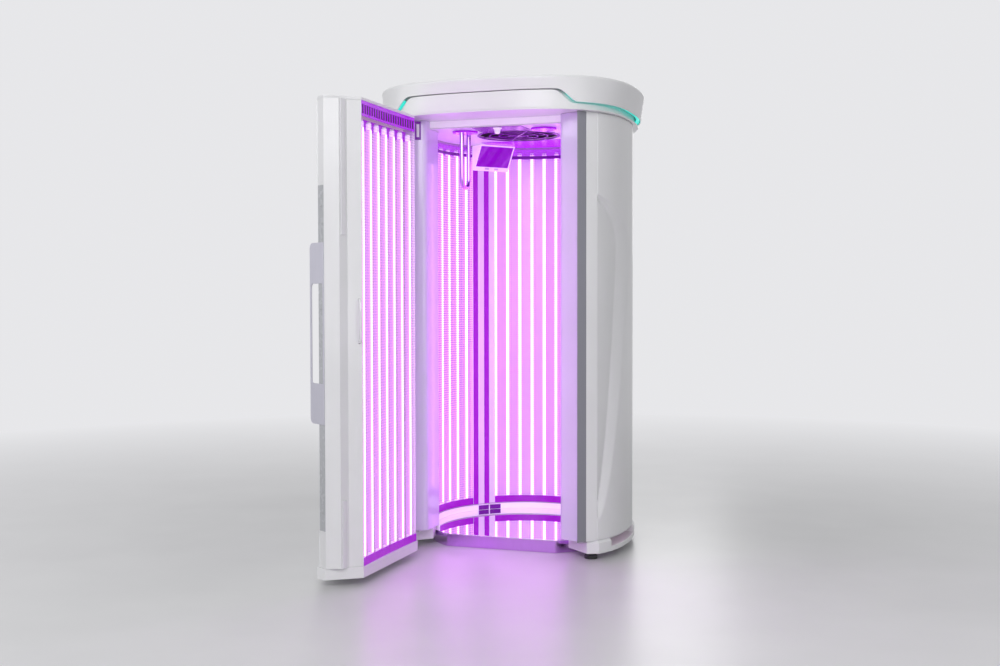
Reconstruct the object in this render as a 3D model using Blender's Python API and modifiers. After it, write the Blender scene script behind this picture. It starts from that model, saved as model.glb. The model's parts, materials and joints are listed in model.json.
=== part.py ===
"""Stand-up light therapy booth: a lamp-lined cabin with a lamp-filled door hung on a side pivot.

Metres, +Z up. The origin is on the cabin's axis at floor level, the doorway faces -Y, and the door
stands open at a right angle.
"""
import math

import bmesh
import bpy
from mathutils import Matrix, Vector

# Seating gap between neighbouring pieces, the wall of the moulded covers, and how far cutters overshoot
GAP = 0.0003
COVER = 0.004
OVERSHOOT = 0.020

# Overall size in plan, which the cabin wall and all that stands round it follow
CANOPY_WIDTH = 1.310
CANOPY_DEPTH = 1.352

# Stack of heights, from the floor up
PLINTH_CLEARANCE = 0.035
TRAY_HEIGHT = 0.060
TRAY_SHEET = 0.003
MIRROR_THICK = 0.005
SKIRTING_HEIGHT = 0.032
RING_THICK = 0.004
LOWER_HOLDER = 0.035
LAMP_LENGTH = 1.938
UPPER_HOLDER = 0.045
CEILING_THICK = 0.006
HEADER_HEIGHT = 0.032
ROOF_THICK = 0.008
CANOPY_HEIGHT = 0.152

# Cabin wall: an ellipse in plan, with angles measured from the back (+Y)
WALL_CENTRE_Y = 0.027
WALL_END_ANGLE = 127.0
PILLAR_ANGLE = 48.2
PILLAR_HALF_ANGLE = 6.1
PILLAR_PROUD = 0.004
PILLAR_DEPTH = 0.058
ACRYLIC_THICK = 0.003
LAMP_RADIUS = 0.013
LAMP_SETBACK = 0.034
LAMP_SOCKET = 0.008
HOLDER_HALF_DEPTH = 0.022
REFLECTOR_THICK = 0.0015
REFLECTOR_GAP = 0.004
RING_LIP = 0.006
REAR_LAMPS = 10
SIDE_LAMPS = 10
REAR_MARGIN_ANGLE = 6.0
SIDE_MARGIN_ANGLE = 3.0

# Floor platform: a disc a little wider than the cabin wall, cut straight behind the posts' front
FLOOR_MARGIN = 0.020
FLOOR_CENTRE_Y = 0.060
SILL_SETBACK = 0.119
MIRROR_NOSING = 0.0015
TRAY_RIB = 0.012
TRAY_POCKETS = 4
SKIRTING_INSET = 0.0245
SKIRTING_END_ANGLE = 126.0

# Outer body in plan, with angles measured from the front (-Y)
BODY_SPACE = 0.130
BODY_REAR_SPACE = 0.113
BODY_CENTRE_Y = -0.100
BODY_FRONT_POWER = 2.6
BODY_BACK_POWER = 2.0
BAND_END_ANGLE = 57.65
REAR_SPLIT_ANGLE = 127.5
SWOOSH_DEPTH = 0.012
SWOOSH_TOP = 1.79
SWOOSH_BOTTOM = 0.25
SWOOSH_REACH = 0.45
SWOOSH_PEAK = 0.81
SWOOSH_TAPER = 0.75
SWOOSH_CROWN = 1.9
SWOOSH_BEVEL = 0.16
PANEL_COLUMNS = 14
PANEL_ROWS = 18
REAR_FACETS = 21

# Front posts: they stand in front of the wall's ends and narrow the doorway by the column's return.
# Corners are pairs: out from the doorway's edge, and forward of the posts' front
COLUMN_RETURN = 0.0314
COLUMN_LEAD = 0.024
COLUMN_SEAM_ANGLE = 0.6
POST_DEPTH = 0.187
POST_BACK_LEAD = 0.0396
POST_WALL = 0.004
POST_BAND_REACH = 0.034
POST_HEEL_OUT = 0.052
POST_HEEL_CHAMFER = (0.014, 0.016)
COLUMN_ROUND = 0.022
RIDGE_FOOT = (0.096, 0.0335)
RIDGE_TIP = (0.1075, 0.067)
RIDGE_TIP_HALF_WIDTH = 0.002
BAND_START = (0.140, 0.027)

# Plinth
PLINTH_PROUD = 0.010
PLINTH_CHAMFER = 0.010
PLINTH_TRAY_CLEARANCE = 0.004
PLINTH_INNER = (0.013, -0.110)
PLINTH_NOSE = (0.1385, 0.008)
PLINTH_NOSE_TURN = 0.4
PLINTH_TRAY_ANGLE = 130.0
WINDOW_DEPTH = 0.070
WINDOW_FRONT_Y = -0.360
WINDOW_BACK_Y = 0.050
WINDOW_SILL = 0.058
FOOT_RADIUS = 0.032
FOOT_HEIGHT = 0.020
FOOT_STEM_RADIUS = 0.008
FOOT_CHAMFER = 0.005
FOOT_PLACE = (0.139, -0.066)

# Canopy
CANOPY_SIDE_OVERHANG = 0.050
CANOPY_FRONT_OVERHANG = 0.012
CANOPY_REAR_OVERHANG = 0.040
CANOPY_POWERS = (2.8, 2.2)
CANOPY_LOWER_POWERS = (3.1, 2.5)
CAP_TAPER = 0.026
CAP_WALL = 0.005
CAP_FRONT_DROP = 0.061
CAP_SIDE_DROP = 0.114
CAP_EDGE_ROUND = (0.008, 0.014)
STEP_START_ANGLE = 27.0
STEP_END_ANGLE = 36.5
GROOVE_OPEN_ANGLE = 60.0
FASCIA_INSET_SIDE = 0.040
FASCIA_INSET_FRONT = 0.017
GROOVE_FRONT = 0.006
GROOVE_SIDE = 0.024
CANOPY_FRAME_INSET = 0.022
CANOPY_FRAME_WALL = 0.0025
ACCENT_DEPTH = 0.010
ACCENT_HEIGHT = 0.040

# Ceiling fan
FAN_Y = -0.030
FAN_RADIUS = 0.200
FAN_TIP_GAP = 0.006
FAN_RING_WALL = 0.005
FAN_RING_HEIGHT = 0.085
FAN_HUB_RADIUS = 0.045
FAN_MOTOR_HEIGHT = 0.055
FAN_BLADES = 7
FAN_BLADE_HEIGHT = 0.030
FAN_BLADE_CHORD = 0.052
FAN_BLADE_THICK = 0.003
FAN_BLADE_PITCH = 28.0
FAN_STRUT = 0.014
FAN_MOTOR_DROP = 0.010
GUARD_THICK = 0.0035
GUARD_RINGS = 3
GUARD_BAR = 0.006
GUARD_SPOKES = 6

# Ceiling: hand grip on the left, a plain round cover on the right, and the beam over the doorway
CEILING_CLEARANCE = 0.006
CEILING_TRIM_ANGLE = 3.0
CEILING_SHOULDER = 0.030
HEADER_DEPTH = 0.030
GRIP_X = 0.210
GRIP_Y = -0.270
GRIP_LEG_SPACING = 0.100
GRIP_BEND_INSET = 0.005
GRIP_DROP = 0.285
GRIP_TUBE_RADIUS = 0.011
ROSETTE_MARGIN = 0.004
ROSETTE_THICK = 0.010

# Control panel
CONTROL_WIDTH = 0.222
CONTROL_HEIGHT = 0.135
CONTROL_TOP_DEPTH = 0.122
CONTROL_FOOT_DEPTH = 0.042
CONTROL_STANDOFF = 0.024
CONTROL_SHIFT = 0.042
CONTROL_BOSS_WIDTH = 0.070
CONTROL_BOSS_RISE = 0.020
CONTROL_BOSS_ROOT = 0.006
DISPLAY_MARGIN = 0.010
DISPLAY_WIDTH = 0.205
DISPLAY_HEIGHT = 0.124
DISPLAY_THICK = 0.004
KEY_WIDTH = 0.026
KEY_HEIGHT = 0.010
KEY_DEPTH = 0.008
KEY_SPACING = 0.060
KEY_TRAVEL = 0.002
KEY_PROUD = 0.003

# Door, drawn closed; the half profile is mirrored about x = 0
DOOR_OPEN_ANGLE = 90.0
DOOR_TOP_CLEARANCE = 0.004
DOOR_TOP_THICK = 0.012
DOOR_BASE_CLEARANCE = 0.0046
DOOR_DEPTH = 0.199
DOOR_BASE_PROUD = 0.010
DOOR_BASE_SLANT = 0.4
DOOR_LAMP_ARC_ANGLE = 3.0
DOOR_LAMPS = 7
DOOR_LAMP_MARGIN = 0.039
DOOR_LOWER_HOLDER = 0.035
DOOR_VENT_HEIGHT = 0.066
DOOR_LOWER_SEAM = 0.250
DOOR_UPPER_SEAM = 1.790
DOOR_COVER_PROUD = 0.005
FLANGE_TIP = (0.060, 0.087)
FLANGE_ROOT = (0.0405, 0.023)
RECESS = (-0.007, 0.007)
COLUMN = (-0.047, -0.045)
CHAMFER = (0.032, 0.129)
STILE_HEEL = (0.004, 0.111)
HINGE_PLACE = (0.088, 0.063)
HINGE_PIN_RADIUS = 0.005
HINGE_EYE_RADIUS = 0.0125
HINGE_ARM_HALF_WIDTH = 0.010
HINGE_ARM_THICK = 0.014
HINGE_ARM_DROP = 0.004
HINGE_ARM_ROOT = 0.010
HINGE_PIN_RUN = 0.0004
HINGE_PIN_ROOT = 0.004
HINGE_FLANGE = 0.003
HINGE_PLATE = 0.008
HINGE_PLATE_INNER = (0.050, -0.004)
HINGE_PLATE_OUTER = (0.100, 0.020)
HINGE_PLATE_NEAR = (0.040, 0.014)
HANDLE_BOTTOM = 0.720
HANDLE_TOP = 1.520
HANDLE_OVERHANG = 0.072
HANDLE_THICK = 0.004
HANDLE_RIM = 0.014
HANDLE_HEM = 0.010
HANDLE_ROUND = 0.028
SLOT_BOTTOM = 0.900
SLOT_TOP = 1.340
SLOT_ROUND = 0.018
PULL_BOTTOM = 1.080
PULL_TOP = 1.270
PULL_STAND = 0.030
PULL_RADIUS = 0.006
PULL_SEAT = 0.014
PULL_BOW = 0.6

# Electrics in the canopy and the mains inlet at the back
BALLAST_COUNT = 6
BALLAST_LENGTH = 0.200
BALLAST_TRAY_MARGIN = 0.010
BALLAST_WIDTH = 0.042
BALLAST_HEIGHT = 0.040
BALLAST_PITCH = 0.056
BALLAST_SHEET = 0.003
BALLAST_SIDE_INSET = 0.275
BALLAST_Y = 0.060
INLET_WIDTH = 0.040
INLET_HEIGHT = 0.060
INLET_DEPTH = 0.016
INLET_Z = 0.250
GLAND_RADIUS = 0.011
GLAND_LENGTH = 0.022
GLAND_ROOT = 0.004

# Levels worked out from the stack
MIRROR_LOW = TRAY_HEIGHT + GAP
MIRROR_TOP = MIRROR_LOW + MIRROR_THICK
SKIRTING_LOW = MIRROR_TOP + GAP
PLINTH_TOP = SKIRTING_LOW + SKIRTING_HEIGHT
BODY_LOW = PLINTH_TOP + GAP
RING_TOP = BODY_LOW + RING_THICK
HOLDER_LOW = RING_TOP + GAP
LAMP_LOW = HOLDER_LOW + LOWER_HOLDER
LAMP_TOP = LAMP_LOW + LAMP_LENGTH
HOLDER_TOP = LAMP_TOP + UPPER_HOLDER
UPPER_RING_LOW = HOLDER_TOP + GAP
UPPER_RING_TOP = UPPER_RING_LOW + RING_THICK
CEILING_LOW = UPPER_RING_TOP + GAP
CEILING_TOP = CEILING_LOW + CEILING_THICK
HEADER_LOW = CEILING_TOP + GAP
BODY_TOP = HEADER_LOW + HEADER_HEIGHT
ROOF_LOW = BODY_TOP + GAP
ROOF_TOP = ROOF_LOW + ROOF_THICK
CANOPY_LOW = ROOF_TOP + GAP
CANOPY_TOP = CANOPY_LOW + CANOPY_HEIGHT
DOOR_TOP = BODY_TOP - DOOR_TOP_CLEARANCE
DOOR_TOP_LOW = DOOR_TOP - DOOR_TOP_THICK
HINGE_PLATE_LOW = BODY_LOW - GAP - HINGE_PLATE
DOOR_BASE_TOP = HINGE_PLATE_LOW - DOOR_BASE_CLEARANCE
DOOR_LOW = DOOR_BASE_TOP + GAP
DOOR_HIGH = DOOR_TOP_LOW - GAP
DOOR_VENT_LOW = DOOR_HIGH - DOOR_VENT_HEIGHT

# Wall offsets worked out from the lamps, outward from the acrylic's inner face
HOLDER_IN = LAMP_SETBACK - HOLDER_HALF_DEPTH
HOLDER_OUT = LAMP_SETBACK + HOLDER_HALF_DEPTH
REFLECTOR_IN = HOLDER_OUT + REFLECTOR_GAP
REFLECTOR_OUT = REFLECTOR_IN + REFLECTOR_THICK
RING_OUT = REFLECTOR_OUT + REFLECTOR_GAP
SEAM_ANGLE = 0.05

# Plan places worked out from the canopy: the wall stands under it, its ends carry the posts,
# and the posts the door and the sill
FRONT_STACK = CANOPY_FRONT_OVERHANG + DOOR_DEPTH + POST_DEPTH
REAR_STACK = CANOPY_REAR_OVERHANG + BODY_REAR_SPACE
WALL_END_SINE = math.sin(math.radians(WALL_END_ANGLE))
WALL_END_COSINE = math.cos(math.radians(WALL_END_ANGLE))
WALL_HALF_WIDTH = CANOPY_WIDTH / 2 - CANOPY_SIDE_OVERHANG - BODY_SPACE
WALL_HALF_DEPTH = (CANOPY_DEPTH - FRONT_STACK - REAR_STACK) / (1 - WALL_END_COSINE)
WALL_END_X = WALL_END_SINE * WALL_HALF_WIDTH
WALL_END_Y = WALL_CENTRE_Y + WALL_END_COSINE * WALL_HALF_DEPTH
DOORWAY_HALF_WIDTH = WALL_END_X - COLUMN_RETURN
POST_FRONT_Y = WALL_END_Y - POST_DEPTH
POST_BACK_Y = WALL_END_Y - POST_BACK_LEAD
SILL_Y = POST_FRONT_Y + SILL_SETBACK
FLOOR_RADIUS = WALL_HALF_WIDTH + FLOOR_MARGIN
DOOR_OUTER_APEX = POST_FRONT_Y - DOOR_DEPTH
BODY_HALF_WIDTH = WALL_HALF_WIDTH + BODY_SPACE
BODY_FRONT = BODY_CENTRE_Y - DOOR_OUTER_APEX
BODY_BACK = WALL_CENTRE_Y + WALL_HALF_DEPTH + BODY_REAR_SPACE - BODY_CENTRE_Y
CANOPY_HALF_WIDTH = BODY_HALF_WIDTH + CANOPY_SIDE_OVERHANG
BALLAST_X = BALLAST_SIDE_INSET - CANOPY_HALF_WIDTH
CANOPY_FRONT = BODY_FRONT + CANOPY_FRONT_OVERHANG
CANOPY_BACK = BODY_BACK + CANOPY_REAR_OVERHANG


def front_corner(offset):
    """A corner of a post or of the closed door on the right, from its pair."""
    out, forward = offset
    return (DOORWAY_HALF_WIDTH + out, POST_FRONT_Y - forward)


# Hinge axis on the left, and the door's half profile: flange, recess, column, chamfer
HINGE_X = -front_corner(HINGE_PLACE)[0]
HINGE_Y = front_corner(HINGE_PLACE)[1]
FLANGE_OUTER = front_corner(FLANGE_TIP)
FLANGE_INNER = front_corner(FLANGE_ROOT)
RECESS_CORNER = front_corner(RECESS)
COLUMN_CORNER = front_corner(COLUMN)
DOOR_LAMP_BOW = COLUMN_CORNER[0] * math.tan(math.radians(DOOR_LAMP_ARC_ANGLE) / 2)
DOOR_INNER_APEX = COLUMN_CORNER[1] - DOOR_LAMP_BOW
CHAMFER_END = front_corner(CHAMFER)

# Materials: colour, roughness and metallic value
FINISHES = {
    "white_shell": ((0.80, 0.80, 0.82), 0.22, 0.0),
    "white_column": ((0.78, 0.76, 0.82), 0.18, 0.0),
    "grey_aluminium": ((0.36, 0.36, 0.40), 0.38, 1.0),
    "lilac_aluminium": ((0.60, 0.59, 0.66), 0.35, 1.0),
    "polished_steel": ((0.78, 0.77, 0.80), 0.08, 1.0),
    "mirror": ((0.85, 0.84, 0.88), 0.03, 1.0),
    "reflector_sheet": ((0.86, 0.84, 0.88), 0.12, 1.0),
    "lamp_glass": ((0.95, 0.62, 0.90), 0.25, 0.0),
    "acrylic": ((0.88, 0.76, 0.95), 0.10, 0.0),
    "black_plastic": ((0.03, 0.03, 0.035), 0.45, 0.0),
    "dark_plastic": ((0.08, 0.06, 0.10), 0.35, 0.0),
    "display_glass": ((0.03, 0.02, 0.05), 0.06, 0.0),
    "key_plastic": ((0.75, 0.74, 0.78), 0.40, 0.0),
    "teal_diffuser": ((0.10, 0.75, 0.68), 0.40, 0.0),
    "steel": ((0.45, 0.45, 0.47), 0.40, 1.0),
    "mid_grey_panel": ((0.55, 0.56, 0.59), 0.30, 0.0),
}


# Scene and materials

def clear_scene():
    for obj in list(bpy.data.objects):
        bpy.data.objects.remove(obj, do_unlink=True)


def new_collection(name):
    collection = bpy.data.collections.new(name)
    bpy.context.scene.collection.children.link(collection)
    return collection


clear_scene()
PARTS = new_collection("light_therapy_booth")
CUTTERS = new_collection("helpers")


def finish(obj, name):
    """Gives the object its own Principled BSDF material."""
    colour, roughness, metallic = FINISHES[name]
    material = bpy.data.materials.new(obj.name + "_" + name)
    material.use_nodes = True
    shader = material.node_tree.nodes["Principled BSDF"]
    shader.inputs["Base Color"].default_value = (*colour, 1.0)
    shader.inputs["Roughness"].default_value = roughness
    shader.inputs["Metallic"].default_value = metallic
    obj.data.materials.clear()
    obj.data.materials.append(material)
    return obj


# Shape helpers

def add_object(name, mesh):
    obj = bpy.data.objects.new(name, mesh)
    PARTS.objects.link(obj)
    return obj


def mesh_object(name, work):
    """An object from a bmesh, its faces pointing out and its sharp edges kept."""
    bmesh.ops.recalc_face_normals(work, faces=work.faces)
    mesh = bpy.data.meshes.new(name)
    work.to_mesh(mesh)
    work.free()
    mesh.shade_smooth()
    mesh.set_sharp_from_angle(angle=math.radians(30))
    return add_object(name, mesh)


def as_mesh(curve_object):
    """The curve as a mesh with welded caps, in the curve's place."""
    bpy.context.view_layer.update()
    graph = bpy.context.evaluated_depsgraph_get()
    raw = bpy.data.meshes.new_from_object(curve_object.evaluated_get(graph))
    name = curve_object.name
    place = curve_object.matrix_world.copy()
    bpy.data.objects.remove(curve_object, do_unlink=True)
    work = bmesh.new()
    work.from_mesh(raw)
    bpy.data.meshes.remove(raw)
    bmesh.ops.remove_doubles(work, verts=work.verts, dist=0.00001)
    obj = mesh_object(name, work)
    obj.matrix_world = place
    return obj


def flat_plate(name, outline, thickness, holes=()):
    """A plate of this outline in its own XY plane, centred on it in Z."""
    curve = bpy.data.curves.new(name, "CURVE")
    curve.dimensions = "2D"
    curve.fill_mode = "BOTH"
    curve.extrude = thickness / 2
    for loop in (outline, *holes):
        spline = curve.splines.new("POLY")
        spline.points.add(len(loop) - 1)
        for point, (x, y) in zip(spline.points, loop):
            point.co = (x, y, 0.0, 1.0)
        spline.use_cyclic_u = True
    obj = bpy.data.objects.new(name, curve)
    PARTS.objects.link(obj)
    return obj


def prism(name, outline, low, high, holes=()):
    """An upright prism: the plan outline between two heights."""
    obj = flat_plate(name, outline, high - low, holes)
    obj.location.z = (low + high) / 2
    return as_mesh(obj)


def placed_plate(name, outline, thickness, place, holes=()):
    obj = flat_plate(name, outline, thickness, holes)
    obj.matrix_world = place
    return as_mesh(obj)


def box(name, low, high, place=None):
    """A box between two corners, in the frame of place."""
    work = bmesh.new()
    size = [b - a for a, b in zip(low, high)]
    middle = [(a + b) / 2 for a, b in zip(low, high)]
    shape = Matrix.Translation(middle) @ Matrix.Diagonal((*size, 1.0))
    bmesh.ops.create_cube(work, size=1.0, matrix=shape)
    obj = mesh_object(name, work)
    if place is not None:
        obj.matrix_world = place
    return obj


def rod(work, radius, low, high, x, y, sides=16):
    """Adds an upright cylinder to a bmesh."""
    middle = Matrix.Translation((x, y, (low + high) / 2))
    bmesh.ops.create_cone(
        work, cap_ends=True, segments=sides, radius1=radius, radius2=radius, depth=high - low, matrix=middle
    )


def cylinder(name, radius, low, high, x, y, sides=16):
    work = bmesh.new()
    rod(work, radius, low, high, x, y, sides)
    return mesh_object(name, work)


def loft(name, rings, closed=False):
    """A solid through rings of equal count: capped at both ends, or closed round on itself."""
    work = bmesh.new()
    rows = [[work.verts.new(point) for point in ring] for ring in rings]
    pairs = list(zip(rows, rows[1:]))
    if closed:
        pairs.append((rows[-1], rows[0]))
    for lower, upper in pairs:
        for i in range(len(lower)):
            j = (i + 1) % len(lower)
            work.faces.new((lower[i], lower[j], upper[j], upper[i]))
    if not closed:
        work.faces.new(rows[0])
        work.faces.new(rows[-1])
    return mesh_object(name, work)


def tube(name, points, radius):
    """A bent round bar along the points."""
    curve = bpy.data.curves.new(name, "CURVE")
    curve.dimensions = "3D"
    curve.bevel_depth = radius
    curve.bevel_resolution = 2
    curve.use_fill_caps = True
    spline = curve.splines.new("POLY")
    spline.points.add(len(points) - 1)
    for point, place in zip(spline.points, points):
        point.co = (*place, 1.0)
    obj = bpy.data.objects.new(name, curve)
    PARTS.objects.link(obj)
    return as_mesh(obj)


def helper(obj):
    """Moves an object out of the part: it only cuts or joins."""
    PARTS.objects.unlink(obj)
    CUTTERS.objects.link(obj)
    obj.hide_render = True
    obj.display_type = "WIRE"
    return obj


def boolean(obj, operation, others):
    for other in others:
        modifier = obj.modifiers.new(operation.lower(), "BOOLEAN")
        modifier.operation = operation
        modifier.object = helper(other)
    return obj


def cut(obj, *others):
    return boolean(obj, "DIFFERENCE", others)


def fuse(obj, *others):
    return boolean(obj, "UNION", others)


# Plan curves

def span(start, end, steps):
    return [start + (end - start) * i / steps for i in range(steps + 1)]


def mirrored(points):
    """The points seen in a mirror at x = 0, in reverse order."""
    return [(-x, y) for x, y in reversed(points)]


def sided(points, side):
    """The right-hand points for side 1, and their mirror image for side -1."""
    return points if side > 0 else mirrored(points)


def wall_point(angle, offset):
    turn = math.radians(angle)
    x = math.sin(turn) * (WALL_HALF_WIDTH + offset)
    return (x, WALL_CENTRE_Y + math.cos(turn) * (WALL_HALF_DEPTH + offset))


def floor_point(angle, inset):
    turn = math.radians(angle)
    radius = FLOOR_RADIUS - inset
    return (math.sin(turn) * radius, FLOOR_CENTRE_Y + math.cos(turn) * radius)


def band(point_at, start, end, inner, outer, steps):
    """The outline between two offsets of a plan curve."""
    angles = span(start, end, steps)
    return [point_at(a, inner) for a in angles] + [point_at(a, outer) for a in reversed(angles)]


def signed_power(value, power):
    return math.copysign(abs(value) ** power, value)


def superellipse(angle, half_width, front, back, power, back_power):
    """A point of an egg-shaped outline, by its angle from the front (-Y)."""
    turn = math.radians(angle)
    ahead = math.cos(turn) > 0
    exponent = 2 / (power if ahead else back_power)
    depth = front if ahead else back
    x = signed_power(math.sin(turn), exponent) * half_width
    return (x, -signed_power(math.cos(turn), exponent) * depth)


def body_point(angle, grow):
    x, y = superellipse(
        angle,
        BODY_HALF_WIDTH + grow,
        BODY_FRONT + grow,
        BODY_BACK + grow,
        BODY_FRONT_POWER,
        BODY_BACK_POWER,
    )
    return (x, y + BODY_CENTRE_Y)


def arc_y(x, end, apex):
    """The y of a circular arc through (+-end x, end y) with its middle at y = apex."""
    rise = end[1] - apex
    radius = (end[0] ** 2 + rise ** 2) / (2 * abs(rise))
    towards = math.copysign(1.0, rise)
    return apex + towards * (radius - math.sqrt(radius ** 2 - x ** 2))


def arc_band(end, apex, inner, outer, half_span, steps):
    """The outline between two setbacks of a door arc, square to it, from -half_span to half_span."""
    rise = end[1] - apex
    radius = (end[0] ** 2 + rise ** 2) / (2 * rise)
    centre_y = apex + radius
    reach = math.degrees(math.asin(half_span / radius))

    def point_at(angle, setback):
        turn = math.radians(angle)
        return (math.sin(turn) * (radius + setback), centre_y - math.cos(turn) * (radius + setback))

    return band(point_at, -reach, reach, inner, outer, steps)


def towards(start, end, distance):
    """The point at this distance from start on the way to end."""
    run = Vector(end) - Vector(start)
    return tuple(Vector(start) + run.normalized() * distance)


def beyond(start, end, distance):
    """The point at this distance past end, on the line from start."""
    run = Vector(end) - Vector(start)
    return tuple(Vector(end) + run.normalized() * distance)


def rounded(before, corner, after, radius, steps=4):
    """Points that round a corner of an outline."""
    start = Vector(towards(corner, before, radius))
    end = Vector(towards(corner, after, radius))
    points = []
    for t in span(0.0, 1.0, steps):
        points.append(tuple(start * (1 - t) ** 2 + Vector(corner) * 2 * t * (1 - t) + end * t ** 2))
    return points


def inset_path(points, distance, closed=False):
    """The path moved sideways to its left by a distance, with mitred corners."""
    count = len(points)
    moved = []
    for i, here in enumerate(points):
        here = Vector(here)
        before = Vector(points[i - 1]) if closed or i > 0 else None
        after = Vector(points[(i + 1) % count]) if closed or i < count - 1 else None
        normals = []
        for start, end in ((before, here), (here, after)):
            if start is not None and end is not None:
                run = (end - start).normalized()
                normals.append(Vector((-run.y, run.x)))
        lean = sum(normals, Vector((0.0, 0.0))).normalized()
        moved.append(tuple(here + lean * distance / lean.dot(normals[0])))
    return moved


def ribbon(points, thickness):
    """The outline of a strip of this thickness, on the left of a path."""
    return list(points) + list(reversed(inset_path(points, thickness)))


# Base

def tray_outline(inset):
    """The platform's plan: a disc cut straight at the sill."""
    radius = FLOOR_RADIUS - inset
    sill = SILL_Y + inset
    half_angle = math.degrees(math.acos((sill - FLOOR_CENTRE_Y) / radius))
    return [floor_point(a, inset) for a in span(-half_angle, half_angle, 40)]


def make_floor():
    """The steel cassette that stands on the floor, its mirror deck and the white skirting."""
    tray = prism("base_tray", tray_outline(0.0), 0.0, TRAY_HEIGHT)
    reach = FLOOR_RADIUS * math.sqrt(0.5)
    front = SILL_Y + TRAY_RIB
    back = FLOOR_CENTRE_Y + reach
    width = (2 * reach - TRAY_RIB * (TRAY_POCKETS - 1)) / TRAY_POCKETS
    half_sill = math.sqrt(FLOOR_RADIUS ** 2 - (SILL_Y - FLOOR_CENTRE_Y) ** 2)
    for i in range(TRAY_POCKETS):
        left = -reach + i * (width + TRAY_RIB)
        outer_pocket = max(abs(left), abs(left + width)) > half_sill - TRAY_RIB
        pocket_front = FLOOR_CENTRE_Y - reach + TRAY_RIB if outer_pocket else front
        low = (left, pocket_front, TRAY_SHEET)
        high = (left + width, back - TRAY_RIB, TRAY_HEIGHT + OVERSHOOT)
        cut(tray, box(f"tray_pocket_{i}", low, high))
    finish(tray, "polished_steel")
    mirror = prism("floor_mirror", tray_outline(-MIRROR_NOSING), MIRROR_LOW, MIRROR_TOP)
    finish(mirror, "mirror")
    outline = band(
        floor_point, -SKIRTING_END_ANGLE, SKIRTING_END_ANGLE, SKIRTING_INSET + COVER, SKIRTING_INSET, 40
    )
    finish(prism("floor_skirting", outline, SKIRTING_LOW, PLINTH_TOP), "white_shell")


def plinth_outline(grow):
    """The right half of the plinth: slanted inner face, short front facet, curved flank."""
    flank = [body_point(a, grow) for a in span(BAND_END_ANGLE + PLINTH_NOSE_TURN, 180.0, 23)]
    flank[-1] = (GAP, flank[-1][1])
    tray_side = [floor_point(a, -PLINTH_TRAY_CLEARANCE) for a in span(0.0, PLINTH_TRAY_ANGLE, 18)]
    tray_side[0] = (GAP, tray_side[0][1])
    return [front_corner(PLINTH_INNER), front_corner(PLINTH_NOSE)] + flank + tray_side


def make_plinth(side, name):
    levels = (
        (PLINTH_CLEARANCE, PLINTH_PROUD),
        (PLINTH_TOP - PLINTH_CHAMFER, PLINTH_PROUD),
        (PLINTH_TOP, 0.0),
    )
    rings = []
    for level, grow in levels:
        rings.append([(x, y, level) for x, y in sided(plinth_outline(grow), side)])
    plinth = loft("plinth_" + name, rings)
    inner_x = BODY_HALF_WIDTH - WINDOW_DEPTH
    outer_x = BODY_HALF_WIDTH + PLINTH_PROUD + OVERSHOOT
    xs = sorted((side * inner_x, side * outer_x))
    window = box(
        "window_" + name, (xs[0], WINDOW_FRONT_Y, WINDOW_SILL), (xs[1], WINDOW_BACK_Y, PLINTH_TOP + OVERSHOOT)
    )
    finish(cut(plinth, window), "white_shell")


def make_foot(side, name):
    """A levelling foot: a turned pad with its stem up to the plinth."""
    profile = (
        (0.0, PLINTH_CLEARANCE - GAP),
        (FOOT_STEM_RADIUS, PLINTH_CLEARANCE - GAP),
        (FOOT_STEM_RADIUS, FOOT_HEIGHT),
        (FOOT_RADIUS - FOOT_CHAMFER, FOOT_HEIGHT),
        (FOOT_RADIUS, FOOT_HEIGHT - FOOT_CHAMFER),
        (FOOT_RADIUS, 0.0),
        (0.0, 0.0),
    )
    work = bmesh.new()
    verts = [work.verts.new((radius, 0.0, z)) for radius, z in profile]
    for first, second in zip(verts, verts[1:]):
        work.edges.new((first, second))
    mesh = bpy.data.meshes.new("levelling_foot_" + name)
    work.to_mesh(mesh)
    work.free()
    foot = add_object("levelling_foot_" + name, mesh)
    x, y = front_corner(FOOT_PLACE)
    foot.location = (side * x, y, 0.0)
    screw = foot.modifiers.new("turn", "SCREW")
    screw.steps = 20
    screw.render_steps = 20
    screw.use_merge_vertices = True
    screw.merge_threshold = 0.0001
    finish(foot, "black_plastic")


# Cabin

def make_ring(name, low, high):
    """A horseshoe plate that carries the lamp holders and closes the lamp space."""
    outline = band(wall_point, -WALL_END_ANGLE, WALL_END_ANGLE, -RING_LIP, RING_OUT, 44)
    finish(prism(name, outline, low, high), "steel")


def make_reflector():
    outline = band(wall_point, -WALL_END_ANGLE, WALL_END_ANGLE, REFLECTOR_IN, REFLECTOR_OUT, 44)
    finish(prism("reflector", outline, HOLDER_LOW, HOLDER_TOP), "reflector_sheet")


def make_pillar(side, name):
    corners = []
    for angle, offset in ((-1, -PILLAR_PROUD), (1, -PILLAR_PROUD), (1, PILLAR_DEPTH), (-1, PILLAR_DEPTH)):
        corners.append(wall_point(PILLAR_ANGLE + angle * PILLAR_HALF_ANGLE, offset))
    finish(prism("pillar_" + name, sided(corners, side), HOLDER_LOW, HOLDER_TOP), "polished_steel")


def lamp_bank(name, holder_outline, places, levels):
    """Tubes seated in a lower and an upper holder rail, as one wired bank."""
    low, lamp_low, lamp_top, top = levels
    rail = prism(name, holder_outline, low, lamp_low)
    upper = prism(name + "_upper_rail", holder_outline, lamp_top, top)
    work = bmesh.new()
    for x, y in places:
        rod(work, LAMP_RADIUS, lamp_low - LAMP_SOCKET, lamp_top + LAMP_SOCKET, x, y, sides=10)
    tubes = mesh_object(name + "_tubes", work)
    finish(fuse(rail, tubes, upper), "lamp_glass")
    return rail


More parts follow.
